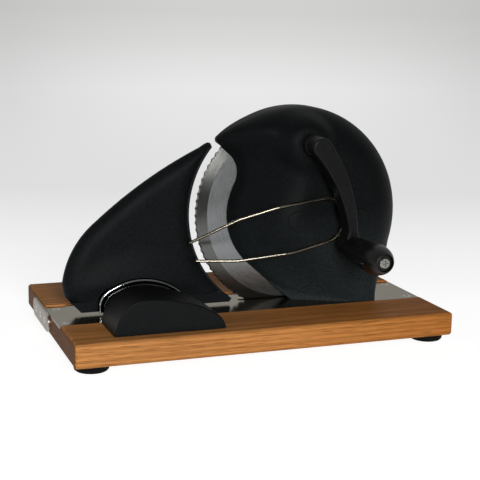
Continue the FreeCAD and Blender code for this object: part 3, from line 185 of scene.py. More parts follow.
def oiled_oak(colours):
    """Oak, planed, sanded and oiled: fine streaks along the board, short dark pores and a soft sheen."""
    material, tree, shader, spot = new_material("oiled_oak", colours.oak_light, 0.5, gloss=0.03)
    # The heart of the trunk lies 140 mm below the board and 30 mm in front of its middle; rings about 4 mm apart
    trunk = add(tree, "Mapping", {"Vector": spot, "Location": (0, 0.03, 0.14), "Scale": (0.05, 1, 1)})
    rings = add(tree, "TexWave", {"Vector": trunk, "Scale": 78, "Distortion": 9, "Detail": 4,
                                  "Detail Scale": 0.2, "Detail Roughness": 0.7},
                wave_type="RINGS", rings_direction="X")
    # Bundles of fibres 1 mm thick and 50 mm long
    stretched = add(tree, "Mapping", {"Vector": spot, "Scale": (20, 1000, 1000)})
    fibres = add(tree, "TexNoise", {"Vector": stretched, "Scale": 1, "Detail": 5, "Roughness": 0.65})
    # Broad change of tone between parts of the board, some 40 mm across
    wide = add(tree, "Mapping", {"Vector": spot, "Scale": (7, 25, 25)})
    cloud = add(tree, "TexNoise", {"Vector": wide, "Scale": 1, "Detail": 3})
    grain = add(tree, "MixRGB", {"Fac": 0.72, "Color1": rings.outputs["Color"], "Color2": fibres})
    toned = add(tree, "MixRGB", {"Fac": 0.4, "Color1": grain, "Color2": cloud})
    # The board's right end comes from darker wood
    parts = add(tree, "SeparateXYZ", {0: spot})
    deep = add(tree, "MapRange", {"Value": parts.outputs["X"], "From Min": -0.1, "From Max": 0.18, "To Max": 0.75})
    early = add(tree, "MixRGB", {"Fac": deep, "Color1": colours.oak_light, "Color2": colours.oak_deep})
    late = add(tree, "MixRGB", {"Fac": 0.42, "Color1": early, "Color2": colours.oak_pore})
    streak = ramp(tree, toned, [(0.4, BLACK), (0.6, WHITE)])
    wood = add(tree, "MixRGB", {"Fac": streak, "Color1": late, "Color2": early})
    # Pores 0.3 mm wide and 10 mm long, drawn 0.7 mm wide because finer ones would not show
    holes_at = add(tree, "Mapping", {"Vector": spot, "Scale": (50, 1400, 1400)})
    holes = add(tree, "TexNoise", {"Vector": holes_at, "Scale": 1, "Detail": 1})
    pores = ramp(tree, holes, [(0.55, BLACK), (0.66, WHITE)])
    share = add(tree, "Math", {0: pores, 1: 0.55}, operation="MULTIPLY")
    pored = add(tree, "MixRGB", {"Fac": share, "Color1": wood, "Color2": colours.oak_pore})
    # End grain drinks more oil and is darker
    facing = add(tree, "SeparateXYZ", {0: add(tree, "TexCoord").outputs["Normal"]})
    endwise = add(tree, "Math", {0: facing.outputs["X"]}, operation="ABSOLUTE")
    ended = add(tree, "MapRange", {"Value": endwise, "From Min": 0.6, "From Max": 0.95, "To Max": 0.8})
    mixed = add(tree, "MixRGB", {"Fac": ended, "Color1": pored, "Color2": colours.oak_end})
    sheen = add(tree, "MapRange", {"Value": toned, "To Min": 0.58, "To Max": 0.42})
    bump = add(tree, "Bump", {"Height": pores, "Strength": 0.2, "Distance": 0.0003}, invert=True)
    feed(shader, {"Base Color": mixed, "Roughness": sheen, "Normal": bump})
    return material


def spark_texture(name, base, rough, grain, depth, gloss, foot=1.0, top=1.0):
    """Black plastic from a spark-eroded mould: an even fine grain that breaks up the highlights.

    The grain's size is in metres, and foot and top scale the colour at 30 and at 120 mm above the floor, as painted
    light and shade.
    """
    material, tree, shader, spot = new_material(name, base, rough, gloss=gloss)
    # The real grain is 0.2 to 0.3 mm; it is drawn as coarse as the size given so that it shows
    pits = add(tree, "TexNoise", {"Vector": spot, "Scale": 1 / grain, "Detail": 2, "Roughness": 0.6})
    cloud = add(tree, "TexNoise", {"Vector": spot, "Scale": 45, "Detail": 3})
    uneven = add(tree, "MapRange", {"Value": cloud, "To Min": rough - 0.07, "To Max": rough + 0.07})
    speck = ramp(tree, pits, [(0.4, base), (0.64, shade(base, 2.2))])
    # Painted light and shade by height: the colour is made lighter towards the foot and darker towards the top
    parts = add(tree, "SeparateXYZ", {0: spot})
    painted_light_by_height = add(tree, "MapRange", {"Value": parts.outputs["Z"], "From Min": 0.03, "From Max": 0.12,
                                  "To Min": foot, "To Max": top})
    tone = add(tree, "VectorMath", {0: speck, 1: painted_light_by_height}, operation="MULTIPLY")
    bump = add(tree, "Bump", {"Height": pits, "Strength": depth, "Distance": 0.0004})
    feed(shader, {"Base Color": tone, "Roughness": uneven, "Normal": bump})
    return material


def glossy_phenolic(colours):
    """Pressed phenolic knob, buffed: deep black with broad soft highlights and faint handling marks."""
    material, tree, shader, spot = new_material("buffed_phenolic", colours.grip, 0.33, gloss=0.3)
    smear = add(tree, "TexNoise", {"Vector": spot, "Scale": 130, "Detail": 3})
    dull = add(tree, "MapRange", {"Value": smear, "To Min": 0.26, "To Max": 0.42})
    tone = ramp(tree, smear, [(0.35, colours.grip), (0.75, shade(colours.grip, 1.8))])
    feed(shader, {"Base Color": tone, "Roughness": dull})
    return material


def block_plastic(colours):
    """One moulding with three finishes: grained front, satin sides, and a polished neck that mirrors the bezel."""
    material, tree, shader, spot = new_material("satin_block", colours.block, 0.4, gloss=0.1)
    parts = add(tree, "SeparateXYZ", {0: spot})
    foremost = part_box("thickness_block")[0].y
    # The grained front is the first 0.6 mm of the block's depth, and the neck starts 50 mm behind it
    front = add(tree, "Math", {0: parts.outputs["Y"], 1: foremost + 0.6 * MM}, operation="LESS_THAN")
    neck = add(tree, "Math", {0: parts.outputs["Y"], 1: foremost + 49.6 * MM}, operation="GREATER_THAN")
    # The real grain is 0.2 to 0.3 mm; it is drawn 1 mm coarse so that it shows
    pits = add(tree, "TexNoise", {"Vector": spot, "Scale": 1000, "Detail": 2, "Roughness": 0.6})
    speck = ramp(tree, pits, [(0.36, shade(colours.shell, 0.4)), (0.66, colours.shell)])
    sides = add(tree, "MixRGB", {"Fac": front, "Color1": colours.block, "Color2": speck})
    tone = add(tree, "MixRGB", {"Fac": neck, "Color1": sides, "Color2": colours.grip})
    dull = add(tree, "MapRange", {"Value": neck, "To Min": 0.42, "To Max": 0.08})
    strength = add(tree, "Math", {0: front, 1: 0.3}, operation="MULTIPLY")
    bump = add(tree, "Bump", {"Height": pits, "Strength": strength, "Distance": 0.0004})
    feed(shader, {"Base Color": tone, "Roughness": dull, "Normal": bump})
    return material


def foot_rubber(colours):
    """Moulded rubber: dull, with a dusty bloom in patches."""
    material, tree, shader, spot = new_material("moulded_rubber", colours.rubber, 0.75, gloss=0.1)
    bloom = add(tree, "TexNoise", {"Vector": spot, "Scale": 160, "Detail": 4})
    tone = ramp(tree, bloom, [(0.4, colours.rubber), (0.75, shade(colours.rubber, 1.8))])
    feed(shader, {"Base Color": tone})
    return material


def brushed_steel(name, base, rough, stretch, depth):
    """Steel sheet finished with a belt: fine lines one way that smear the reflections along them."""
    # Belt lines shade each other at low angles, so the sheet stays grey there
    material, tree, shader, spot = new_material(name, base, rough, 1.0, **{"Specular Tint": (0.55, 0.54, 0.52, 1)})
    # Belt lines are about 0.05 mm apart; they are drawn 0.5 mm apart so that they show
    lines_at = add(tree, "Mapping", {"Vector": spot, "Scale": stretch})
    lines = add(tree, "TexNoise", {"Vector": lines_at, "Scale": 1, "Detail": 3, "Roughness": 0.7})
    haze = add(tree, "TexNoise", {"Vector": spot, "Scale": 30, "Detail": 3})
    both = add(tree, "Math", {0: lines, 1: haze}, operation="MULTIPLY")
    dull = add(tree, "MapRange", {"Value": both, "From Max": 0.5, "To Min": rough * 0.6, "To Max": rough * 1.5})
    tone = ramp(tree, lines, [(0.3, shade(base, 0.82)), (0.7, base)])
    bump = add(tree, "Bump", {"Height": lines, "Strength": depth, "Distance": 0.0001})
    feed(shader, {"Base Color": tone, "Roughness": dull, "Normal": bump})
    return material


def turned_blade(name, base, rough, centre, rings, spokes, stretch):
    """Blade steel ground while it turns: hair lines round the axis, which draw highlights out into fans.

    Rings and spokes give how fine the lines are outwards and around, and stretch how far they pull a highlight.
    """
    material, tree, shader, spot = new_material(name, base, rough, 1.0, **{"Anisotropic": stretch,
                                                                           "Anisotropic Rotation": 0.25})
    around = add(tree, "Tangent", direction_type="RADIAL", axis="Y")
    moved = add(tree, "VectorMath", {0: spot, 1: centre}, operation="SUBTRACT")
    parts = add(tree, "SeparateXYZ", {0: moved})
    angle = add(tree, "Math", {0: parts.outputs["Z"], 1: parts.outputs["X"]}, operation="ARCTAN2")
    reach = add(tree, "VectorMath", {0: moved}, operation="LENGTH")
    polar = add(tree, "CombineXYZ", {"X": angle, "Y": reach.outputs["Value"]})
    lines_at = add(tree, "Mapping", {"Vector": polar, "Scale": (spokes, rings, 1)})
    lines = add(tree, "TexNoise", {"Vector": lines_at, "Scale": 1, "Detail": 3, "Roughness": 0.65})
    tone = ramp(tree, lines, [(0.3, shade(base, 0.8)), (0.7, base)])
    dull = add(tree, "MapRange", {"Value": lines, "To Min": rough * 0.8, "To Max": rough * 1.3})
    bump = add(tree, "Bump", {"Height": lines, "Strength": 0.1, "Distance": 0.0001})
    feed(shader, {"Base Color": tone, "Roughness": dull, "Normal": bump, "Tangent": around})
    return material


def bright_metal(name, base, rough):
    """Polished, plated or turned metal: near mirror, with faint handling marks."""
    material, tree, shader, spot = new_material(name, base, rough, 1.0)
    marks = add(tree, "TexNoise", {"Vector": spot, "Scale": 400, "Detail": 4, "Roughness": 0.7})
    dull = add(tree, "MapRange", {"Value": marks, "To Min": rough * 0.5, "To Max": rough * 1.6})
    tone = ramp(tree, marks, [(0.25, shade(base, 0.8)), (0.6, base)])
    feed(shader, {"Base Color": tone, "Roughness": dull})
    return material


def moulded_nylon(colours):
    """Natural nylon: creamy, faintly see-through, with a soft sheen."""
    material, tree, shader, spot = new_material("moulded_nylon", colours.nylon, 0.4, **{
        "Subsurface Weight": 0.15, "Subsurface Radius": (0.002, 0.002, 0.001)})
    cloud = add(tree, "TexNoise", {"Vector": spot, "Scale": 90, "Detail": 2})
    dull = add(tree, "MapRange", {"Value": cloud, "To Min": 0.32, "To Max": 0.5})
    feed(shader, {"Roughness": dull})
    return material


def dress(material, *names):
    """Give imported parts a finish."""
    for name in names:
        NODES[name].material_slots[0].material = material


def stand(name, data):
    """A new object in the scene."""
    item = bpy.data.objects.new(name, data)
    bpy.context.scene.collection.objects.link(item)
    return item


def new_piece(name, mesh, materials, body, replaces=(), sharp=35, indices=None):
    """Make a smooth piece, crisp where it turns sharply, from points and faces; it moves with a body."""
    points, faces = mesh
    shape = bpy.data.meshes.new(name)
    shape.from_pydata([tuple(point) for point in points], [], faces)
    work = bmesh.new()
    work.from_mesh(shape)
    if indices:
        for face, index in zip(work.faces, indices):
            face.material_index = index
    bmesh.ops.remove_doubles(work, verts=work.verts, dist=1e-7)
    bmesh.ops.recalc_face_normals(work, faces=work.faces)
    work.to_mesh(shape)
    work.free()
    shape.shade_smooth()
    shape.set_sharp_from_angle(angle=math.radians(sharp))
    piece = stand(name, shape)
    for material in materials:
        shape.materials.append(material)
    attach(piece, body)
    if replaces:
        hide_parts(*replaces)


def arc(centre, radius, start, end, step=2.0):
    """Points along an arc, its angles in degrees, about one step in millimetres apart."""
    count = max(2, int(abs(math.radians(end - start)) * radius / step) + 1)
    angles = np.radians(np.linspace(start, end, count))
    return np.stack([centre[0] + radius * np.cos(angles), centre[1] + radius * np.sin(angles)], 1)


def drawn(corners, step=2.0):
    """Points of a closed outline through corners (across, up, radius of the arc to the next corner or None)."""
    pieces = []
    for corner, following in zip(corners, corners[1:] + corners[:1]):
        start, end = np.array(corner[:2], float), np.array(following[:2], float)
        chord = end - start
        span = math.hypot(*chord)
        radius = corner[2]
        if radius is None:
            count = max(1, int(span / step))
            pieces.append(start + chord * (np.arange(count) / count)[:, None])
            continue
        side = 1 if radius > 0 else -1
        left = np.array([-chord[1], chord[0]]) / span
        rise = math.sqrt(max(radius * radius - span * span / 4, 0))
        centre = start + chord / 2 + left * rise * side
        first = math.degrees(math.atan2(*(start - centre)[::-1]))
        last = math.degrees(math.atan2(*(end - centre)[::-1]))
        if side > 0 and last < first:
            last += 360
        if side < 0 and last > first:
            last -= 360
        pieces.append(arc(centre, abs(radius), first, last, step)[:-1])
    return np.concatenate(pieces)


def inside(spots, outline):
    """Which spots lie inside a closed outline."""
    across, up = spots[:, :1], spots[:, 1:]
    start, end = outline, np.roll(outline, -1, axis=0)
    crosses = (start[:, 1] > up) != (end[:, 1] > up)
    rise = np.where(crosses, end[:, 1] - start[:, 1], 1)
    meets = start[:, 0] + (up - start[:, 1]) * (end[:, 0] - start[:, 0]) / rise
    return np.sum(crosses & (across < meets), axis=1) % 2 == 1


def gap(spots, path, closed=True):
    """Distance from each spot to the nearest stretch of a path."""
    start = path if closed else path[:-1]
    end = np.roll(path, -1, axis=0) if closed else path[1:]
    along = end - start
    offset = spots[:, None, :] - start[None]
    share = np.clip((offset * along).sum(2) / np.maximum((along ** 2).sum(1), 1e-12), 0, 1)
    return np.sqrt(((offset - share[:, :, None] * along) ** 2).sum(2)).min(1)


def drawn_in(outline, distance):
    """An outline that runs anticlockwise, moved inwards."""
    along = np.roll(outline, -1, axis=0) - np.roll(outline, 1, axis=0)
    inward = np.stack([-along[:, 1], along[:, 0]], 1) / np.linalg.norm(along, axis=1)[:, None]
    return outline + inward * distance


def relief(outline, front, back, spacing, rings, lines=(), clouds=(), centre=(0, 0)):
    """A closed body over an outline in millimetres; front and back give its depth at spots across and up.

    Rings are extra rows of points along the outline, lines are creases that the faces follow, and clouds are
    points of their own with the width of the band round them that gets no others.
    """
    spots = [outline]
    edges = [(index, (index + 1) % len(outline)) for index in range(len(outline))]
    count = len(outline)
    for line in lines:
        edges += [(count + index, count + index + 1) for index in range(len(line) - 1)]
        spots.append(line)
        count += len(line)
    low, high = outline.min(0), outline.max(0)
    grid = np.mgrid[low[0]:high[0]:spacing, low[1]:high[1]:spacing].reshape(2, -1).T
    room = gap(grid, outline)
    keep = inside(grid, outline) & (room > rings[-1] + spacing * 0.6)
    for cloud, reach in clouds:
        keep &= gap(grid, cloud) > reach
    for line in lines:
        keep &= gap(grid, line, False) > spacing * 0.4
    fill = [grid[keep]] + [cloud for cloud, _ in clouds]
    for distance in rings:
        ring = drawn_in(outline, distance)
        clear = inside(ring, outline) & (gap(ring, outline) > distance * 0.93)
        for line in lines:
            clear &= gap(ring, line, False) > 0.3
        fill.append(ring[clear])
    spots = np.concatenate(spots + fill)
    result = delaunay_2d_cdt([Vector(spot) for spot in spots], edges, [], 1, 1e-4)
    flat = np.array([tuple(vertex) for vertex in result[0]])
    total = len(flat)
    points = [place(across + centre[0], depth, up + centre[1])
              for depths in (front(flat), back(flat)) for (across, up), depth in zip(flat, depths)]
    faces, rim = [], {}
    for face in result[2]:
        faces.append(tuple(face))
        faces.append(tuple(index + total for index in reversed(face)))
        for start, end in zip(face, face[1:] + face[:1]):
            if rim.pop((end, start), None) is None:
                rim[(start, end)] = True
    faces += [(end, start, start + total, end + total) for start, end in rim]
    return points, faces


def band(first, second, count):
    """Faces between two closed rows of points, given by the place of each row in the list of rows."""
    steps = [(step, (step + 1) % count) for step in range(count)]
    return [(first * count + here, second * count + here, second * count + there, first * count + there)
            for here, there in steps]


def ring_plate(outline, hole, front, back, centre):
    """A flat plate over an outline in millimetres, with a round hole in its middle."""
    inner = outline * (hole / np.linalg.norm(outline, axis=1))[:, None]
    points = [place(across + centre[0], depth, up + centre[1])
              for depth in (front, back) for loop in (outline, inner) for across, up in loop]
    return points, [face for rows in ((0, 1), (1, 3), (3, 2), (2, 0)) for face in band(*rows, len(outline))]


def swept(path, profile, closed=False):
    """Points and faces of a bar: each profile point is (sideways, forwards) from the path, all in millimetres."""
    count = len(path)
    along = np.roll(path, -1, axis=0) - np.roll(path, 1, axis=0)
    if not closed:
        along[0], along[-1] = path[1] - path[0], path[-1] - path[-2]
    side = np.stack([-along[:, 1], along[:, 0]], 1) / np.linalg.norm(along[:, :2], axis=1)[:, None]
    points = [place(spot[0] + across[0] * sideways, spot[2] - forwards, spot[1] + across[1] * sideways)
              for spot, across in zip(path, side) for sideways, forwards in profile]
    turn = len(profile)
    faces = []
    for step in range(count if closed else count - 1):
        faces += band(step, (step + 1) % count, turn)
    if not closed:
        faces.append(tuple(range(turn)))
        faces.append(tuple(range((count - 1) * turn, count * turn)))
    return points, faces


# The housing's drawing, in millimetres from the blade's axis; depths are below zero towards the front
AXIS = (54.7, 110.2)
FLOOR = -84.1
RIM = 102
BEAK_SWELL, SWELL_FROM, SWELL_SPAN = 2.4, 112, 26
# The rounding along the rim gets tighter from this height down to the foot
RIM_ROUND, FOOT_ROUND = 35, 19
FOOT_FROM, FOOT_SPAN = -25, 35
ROUND_POWER = 2.4
SKIRT = np.array([140, -81.5])
SKIRT_BLEND = 60
BULGE = 63.9
COVE = np.array([-77.37, 39.57])
COVE_BLEND = 23
COVE_ANGLE = 152.9
BEAK_ANGLE = 137.5
BEAK_ROUND = 4
TOE_ANGLE = 228.5
FRONT = -48
BEVEL_ACROSS, BEVEL_DEEP, BEVEL_SOFT = 44.5, 36, 13
CURL_ACROSS, CURL_DEEP = 7, 6.4
CRANK_UP = 70
BOSS_TOP, BOSS_FOOT, BOSS_SLOPE = -53.5, 31, 19
BOSS_RINGS = (0.5, 4, 7.5, 11, 13, 15.5, 18, 20.5, 23, 26, 29)
# The plinth's front slants left of its corner and right of it; each slant is a depth and a rise
PLINTH_UP, PLINTH_CORNER = -68, 48.8
PLINTH_LEFT, PLINTH_RIGHT = (-16.8, 0.475), (-40, 1.2)
# Line along which the plinth comes out of the bevel: from, to, rise and height
PLINTH_CREASE = (-18, 46, -0.0685, -78.35)
EDGE_ACROSS, EDGE_DEPTH, EDGE_LEAST = 2.5, -5.1, 0.4
RECESS_WALL, RECESS_DEPTH, BACK_DEPTH = (98, 97.9), -12.2, -1.0
COVER_INSET, COVER_ROOM, COVER_HOLE, COVER_DEPTHS = 7.5, 7, 13, (-12, -10.5)
BADGE, BADGE_HALF, BADGE_ROUND, BADGE_HIGH, BADGE_SUNK = (22.8, -1.7), 31.5, 9.5, 0.8, 0.3
# Distance between the mesh's points, and how far in from the outline its extra rows lie
SHELL_SPACING, SHELL_RINGS = 2.4, (0.12, 0.4, 0.9, 1.6, 2.4, 2.6, 3.9, 5.6, 7.5)


def compass(angle):
    """The direction at an angle in degrees."""
    return np.array([math.cos(math.radians(angle)), math.sin(math.radians(angle))])


def shell_outline():
    """The housing's outline, anticlockwise from its right foot."""
    beak = compass(BEAK_ANGLE)
    inward = compass(BEAK_ANGLE - 90)
    root = COVE + COVE_BLEND * inward
    start = root + BEAK_ROUND * inward
    along = start @ beak
    run = math.sqrt(along ** 2 - start @ start + (RIM + BEAK_SWELL - BEAK_ROUND) ** 2) - along
    tip = start + run * beak
    tip_angle = math.degrees(math.atan2(tip[1], tip[0]))
    toe = compass(TOE_ANGLE)
    down = compass(TOE_ANGLE + 90)
    foot = BULGE * toe + down * (FLOOR - BULGE * toe[1]) / down[1]
    joint = math.degrees(math.atan2(SKIRT[1], SKIRT[0]))
    right = SKIRT[0] - SKIRT_BLEND
    rim = arc((0, 0), 1, joint, tip_angle, 0.02)[:-1]
    rim *= rim_reach(np.degrees(np.arctan2(rim[:, 1], rim[:, 0])))[:, None]
    return np.concatenate([
        [(right, FLOOR)],
        arc(SKIRT, SKIRT_BLEND, 180, 180 + joint, 1.5)[:-1],
        rim,
        arc(tip, BEAK_ROUND, tip_angle, BEAK_ANGLE + 90, 0.8)[:-1],
        np.linspace(tip - BEAK_ROUND * inward, root, 6)[:-1],
        arc(COVE, COVE_BLEND, BEAK_ANGLE - 90, COVE_ANGLE - 180, 1.5)[:-1],
        arc((0, 0), BULGE, COVE_ANGLE, TOE_ANGLE)[:-1],
        np.linspace(BULGE * toe, foot, 24)[:-1],
        np.linspace(foot, (right, FLOOR), 40)[:-1],
    ])


def rim_reach(angles):
    """Radius of the rim at angles in degrees; it grows towards the beak."""
    return RIM + BEAK_SWELL * smooth((angles - SWELL_FROM) / SWELL_SPAN)


def rim_fall(spots):
    """How far the rounding along the rim falls back at each spot; it is tighter at the foot."""
    below = SKIRT[0] * spots[:, 1] - SKIRT[1] * spots[:, 0] < 0
    skirt = np.where(spots[:, 1] < SKIRT[1], SKIRT[0] - SKIRT_BLEND - spots[:, 0],
                     np.linalg.norm(spots - SKIRT, axis=1) - SKIRT_BLEND)
    angles = np.degrees(np.arctan2(spots[:, 1], spots[:, 0]))
    edge = np.where(below, skirt, rim_reach(angles) - np.linalg.norm(spots, axis=1))
    rounding = RIM_ROUND - (RIM_ROUND - FOOT_ROUND) * smooth((FOOT_FROM - spots[:, 1]) / FOOT_SPAN)
    short = np.clip(rounding - edge, 0, rounding)
    return rounding - np.sqrt(rounding ** 2 - short ** 2)


def blade_side(spots):
    """Distance of each spot from the edge along the blade: the toe, the bulge, the cove or the beak."""
    reach = np.linalg.norm(spots, axis=1)
    angle = np.degrees(np.arctan2(spots[:, 1], spots[:, 0])) % 360
    from_cove = spots - COVE
    turned = np.degrees(np.arctan2(from_cove[:, 1], from_cove[:, 0]))
    cove = np.linalg.norm(from_cove, axis=1) - COVE_BLEND
    beak = from_cove @ compass(BEAK_ANGLE - 90) - COVE_BLEND
    upper = np.where(turned > BEAK_ANGLE - 90, beak, cove)
    upper = np.where(turned < COVE_ANGLE - 180, BULGE - reach, upper)
    lower = BULGE - spots @ compass(TOE_ANGLE)
    return np.where(angle < COVE_ANGLE, upper, np.where(angle < TOE_ANGLE, BULGE - reach, lower))


def smooth(share):
    """A share from 0 to 1 that starts and ends gently."""
    share = np.clip(share, 0, 1)
    return share * share * (3 - 2 * share)


def shell_front(spots):
    """Depth of the housing's front: flat, rounded at the rim, bevelled towards the blade, with boss and plinth."""
    edge = blade_side(spots)
    slope = BEVEL_DEEP / BEVEL_ACROSS
    soft = slope * BEVEL_SOFT
    fall = slope * (BEVEL_ACROSS - edge)
    bevel = np.where(np.abs(fall) < soft, (fall + soft) ** 2 / (4 * soft), np.maximum(fall, 0))
    bevel = bevel + CURL_DEEP * np.clip(1 - edge / CURL_ACROSS, 0, 1) ** 2
    depth = FRONT + (rim_fall(spots) ** ROUND_POWER + bevel ** ROUND_POWER) ** (1 / ROUND_POWER)
    away = np.hypot(spots[:, 0], spots[:, 1] - CRANK_UP)
    depth += (BOSS_TOP - depth) * smooth((BOSS_FOOT - away) / BOSS_SLOPE)
    plinth = np.where(spots[:, 0] < PLINTH_CORNER, PLINTH_LEFT[0] - spots[:, 0] * PLINTH_LEFT[1],
                      PLINTH_RIGHT[0] + PLINTH_RIGHT[1] * (spots[:, 0] - PLINTH_CORNER))
    depth = np.where(spots[:, 1] < PLINTH_UP, np.minimum(depth, plinth), depth)
    return np.minimum(depth, EDGE_DEPTH - EDGE_LEAST)


def shell_back(spots):
    """Depth of the housing's back: the recess that the blade turns in, and the thin edge that reaches towards it."""
    recessed = np.linalg.norm(spots, axis=1) < sum(RECESS_WALL) / 2
    deep = np.where(blade_side(spots) < EDGE_ACROSS, EDGE_DEPTH, RECESS_DEPTH)
    return np.maximum(np.where(recessed, deep, BACK_DEPTH), shell_front(spots) + EDGE_LEAST)


def within(line, outline, room=0.8):
    """The longest stretch of a line that lies well inside an outline."""
    keep = inside(line, outline) & (gap(line, outline) > room)
    runs = np.split(np.arange(len(line)), np.flatnonzero(np.diff(keep.astype(int))) + 1)
    return line[max((run for run in runs if keep[run[0]]), key=len)]


# The stop plate's drawing, in millimetres from the middle of the board
STOP_CORNERS = [
    (-25.2, 176.0, 100), (-6, 31, None), (-9, 28.4, None), (-151, 28.4, None), (-163, 41, -40), (-166, 54, -85),
    (-134.9, 109.2, -420), (-37.0, 174.6, -30), (-29.4, 178.9, -3.5),
]
STOP_BACK, STOP_DEEP, STOP_BOTTOM = -5.4, 9.6, 28.4
STOP_ROUND, STOP_POWER = 15, 2.2
# The flange ends at its right on a slant through this place
FLANGE_TOP, FLANGE_BACK, FLANGE_STEP, FLANGE_END = 38, -12.8, 0.6, (-7.6, 31.5)
PILLOW_BOTTOM = 31.4
SWELL, SWELL_REACH, SWELL_RISE = 4.2, 30, 16
SOCKET_INSET, SOCKET_WALL, SOCKET_DEPTH = -0.85, (-0.8, -0.9), -12.4
STOP_SPACING, STOP_RINGS = 2.6, (0.12, 0.4, 0.9, 1.7, 2.8, 4.2, 6, 8, 10.5)
BEZEL_HALF, BEZEL_FOOT, BEZEL_WALL = 1.4, -12.5, 7.6
ARCH_LEFT, ARCH_RIGHT, ARCH_BOTTOM, ARCH_TOP = -135.5, -44, 28.6, 57.1
ARCH = [
    (0, 0, None), (0, 0.295, 0.204), (0.126, 0.761, 0.63), (0.566, 0.951, 0.63), (0.838, 0.519, None),
    (0.978, 0.084, None), (1, 0, None),
]


def arch(inset, step=1.5):
    """The arch round the neck of the block, drawn in or, below zero, out, clockwise from its left foot."""
    left, right, top = ARCH_LEFT + inset, ARCH_RIGHT - inset, ARCH_TOP - inset
    width, height = right - left, top - ARCH_BOTTOM
    corners = [(left + width * across, ARCH_BOTTOM + height * up, radius and -width * radius)
               for across, up, radius in ARCH]
    return drawn(corners, step)


def stop_front(spots):
    """Depth of the stop plate's front: a pillow that swells round the neck, over an upright flange."""
    outline = drawn(STOP_CORNERS)
    rounded = outline[outline[:, 1] > STOP_BOTTOM + 0.01]
    order = np.argmax(np.linalg.norm(np.diff(rounded, axis=0, append=rounded[:1]), axis=1)) + 1
    rounded = np.roll(rounded, -order, axis=0)
    edge = gap(spots, rounded, False)
    share = np.clip(1 - edge / STOP_ROUND, 0, 1)
    fall = STOP_DEEP * (1 - np.sqrt(1 - share ** STOP_POWER))
    socket = arch(0)
    away = np.where(inside(spots, socket), 0, gap(spots, socket))
    swell = SWELL * (1 - smooth(away / SWELL_REACH)) * (1 - share ** 2)
    swell *= smooth((spots[:, 1] - FLANGE_TOP) / SWELL_RISE)
    depth = STOP_BACK - STOP_DEEP + fall - swell
    flange = np.clip((FLANGE_TOP + FLANGE_STEP - spots[:, 1]) / FLANGE_STEP, 0, 1)
    flange *= np.clip((FLANGE_END[0] - (spots[:, 1] - FLANGE_END[1]) - spots[:, 0]) / FLANGE_STEP + 1, 0, 1)
    depth = depth + (STOP_BACK - STOP_DEEP - FLANGE_STEP - depth) * flange
    return np.where(inside(spots, arch(SOCKET_INSET)), SOCKET_DEPTH, depth)


def stop_back(spots):
    """Depth of the stop plate's back; the flange is a wall of its own below the pillow."""
    return np.where(spots[:, 1] < PILLOW_BOTTOM, FLANGE_BACK, STOP_BACK)


# The blade's drawing, in millimetres
BLADE_HOLE = 9
BEVEL_LAND = 0.6
FACET_LEAST, FACET_MORE = 0.3, 1.1
EDGE_THICK = 0.15
POINTS_PER_TOOTH = 12


def blade_points(sizes):
    """The round blade: flat middle, ground bevel, and a hollow ground facet behind each wave of its edge."""
    front, back = BLADE_LOW.y / MM, BLADE_HIGH.y / MM
    radius = (BLADE_HIGH.x - BLADE_LOW.x) / 2 / MM
    bevel, tooth = sizes.bevel / MM, sizes.tooth / MM
    flat = radius - bevel
    fall = back - front - BEVEL_LAND
    turns = sizes.teeth * POINTS_PER_TOOTH
    centre = BLADE_AXIS / MM
    rows = [[] for _ in range(7)]
    for step in range(turns):
        angle = 2 * math.pi * step / turns
        wave = 1 - (2 * (step % POINTS_PER_TOOTH) / POINTS_PER_TOOTH - 1) ** 2
        edge = radius - tooth * wave
        facet = edge - FACET_LEAST - FACET_MORE * math.sqrt(wave)
        depths = [(BLADE_HOLE, front), (flat, front), (flat, front), (facet, front + fall * (facet - flat) / bevel),
                  (edge, back - EDGE_THICK), (edge, back), (BLADE_HOLE, back)]
        for row, (reach, depth) in zip(rows, depths):
            row.append(Vector((centre.x + reach * math.cos(angle), depth, centre.z + reach * math.sin(angle))) * MM)
    points = [point for row in rows for point in row]
    faces, kinds = [], []
    # Each strip joins two rows and is flat (0), bevel (1) or facet (2)
    strips = [(0, 1, 0), (2, 3, 1), (3, 4, 2), (4, 5, 1), (5, 6, 0), (6, 0, 0)]
    for first, second, kind in strips:
        faces += band(first, second, turns)
        kinds += [kind] * turns
    return (points, faces), kinds


class SLICER_OT_board(bpy.types.Operator):
    """Oil the oak board and put the rubber on its feet"""
    bl_idname = "slicer.board"
    bl_label = "Board and feet"

    def execute(self, context):
        colours = context.scene.slicer_colours
        dress(oiled_oak(colours), "base_board")
        dress(foot_rubber(colours), "foot_front_left", "foot_front_right", "foot_rear_left", "foot_rear_right")
        return {"FINISHED"}


class SLICER_OT_steelwork(bpy.types.Operator):
    """Brush the strip, the end plate and the gear cover, and plate every screw, rod and pin"""
    bl_idname = "slicer.steelwork"
    bl_label = "Steel strip, plates and screws"

    def execute(self, context):
        colours = context.scene.slicer_colours
        dress(brushed_steel("belt_brushed_steel", colours.sheet, 0.16, (25, 2000, 2000), 0.06), "slide_sheet",
              "gear_cover")
        dress(brushed_steel("pressed_end_plate", colours.sheet, 0.22, (2000, 40, 2000), 0.1), "end_plate")
        dress(bright_metal("turned_steel", colours.screw, 0.22), *(name for name in NODES if "screw" in name),
              "housing_bolts", "rod_clamps", "guide_rod_left", "guide_rod_right", "blade_washer", "blade_flange",
              "blade_axle", "crank_shaft", "grip_pin")
        dress(bright_metal("cut_gear_steel", colours.screw, 0.35), "crank_gear")
        dress(bright_metal("sintered_bronze", colours.bronze, 0.4), "crank_bush", "axle_bush")
        dress(moulded_nylon(colours), "blade_gear")
        return {"FINISHED"}


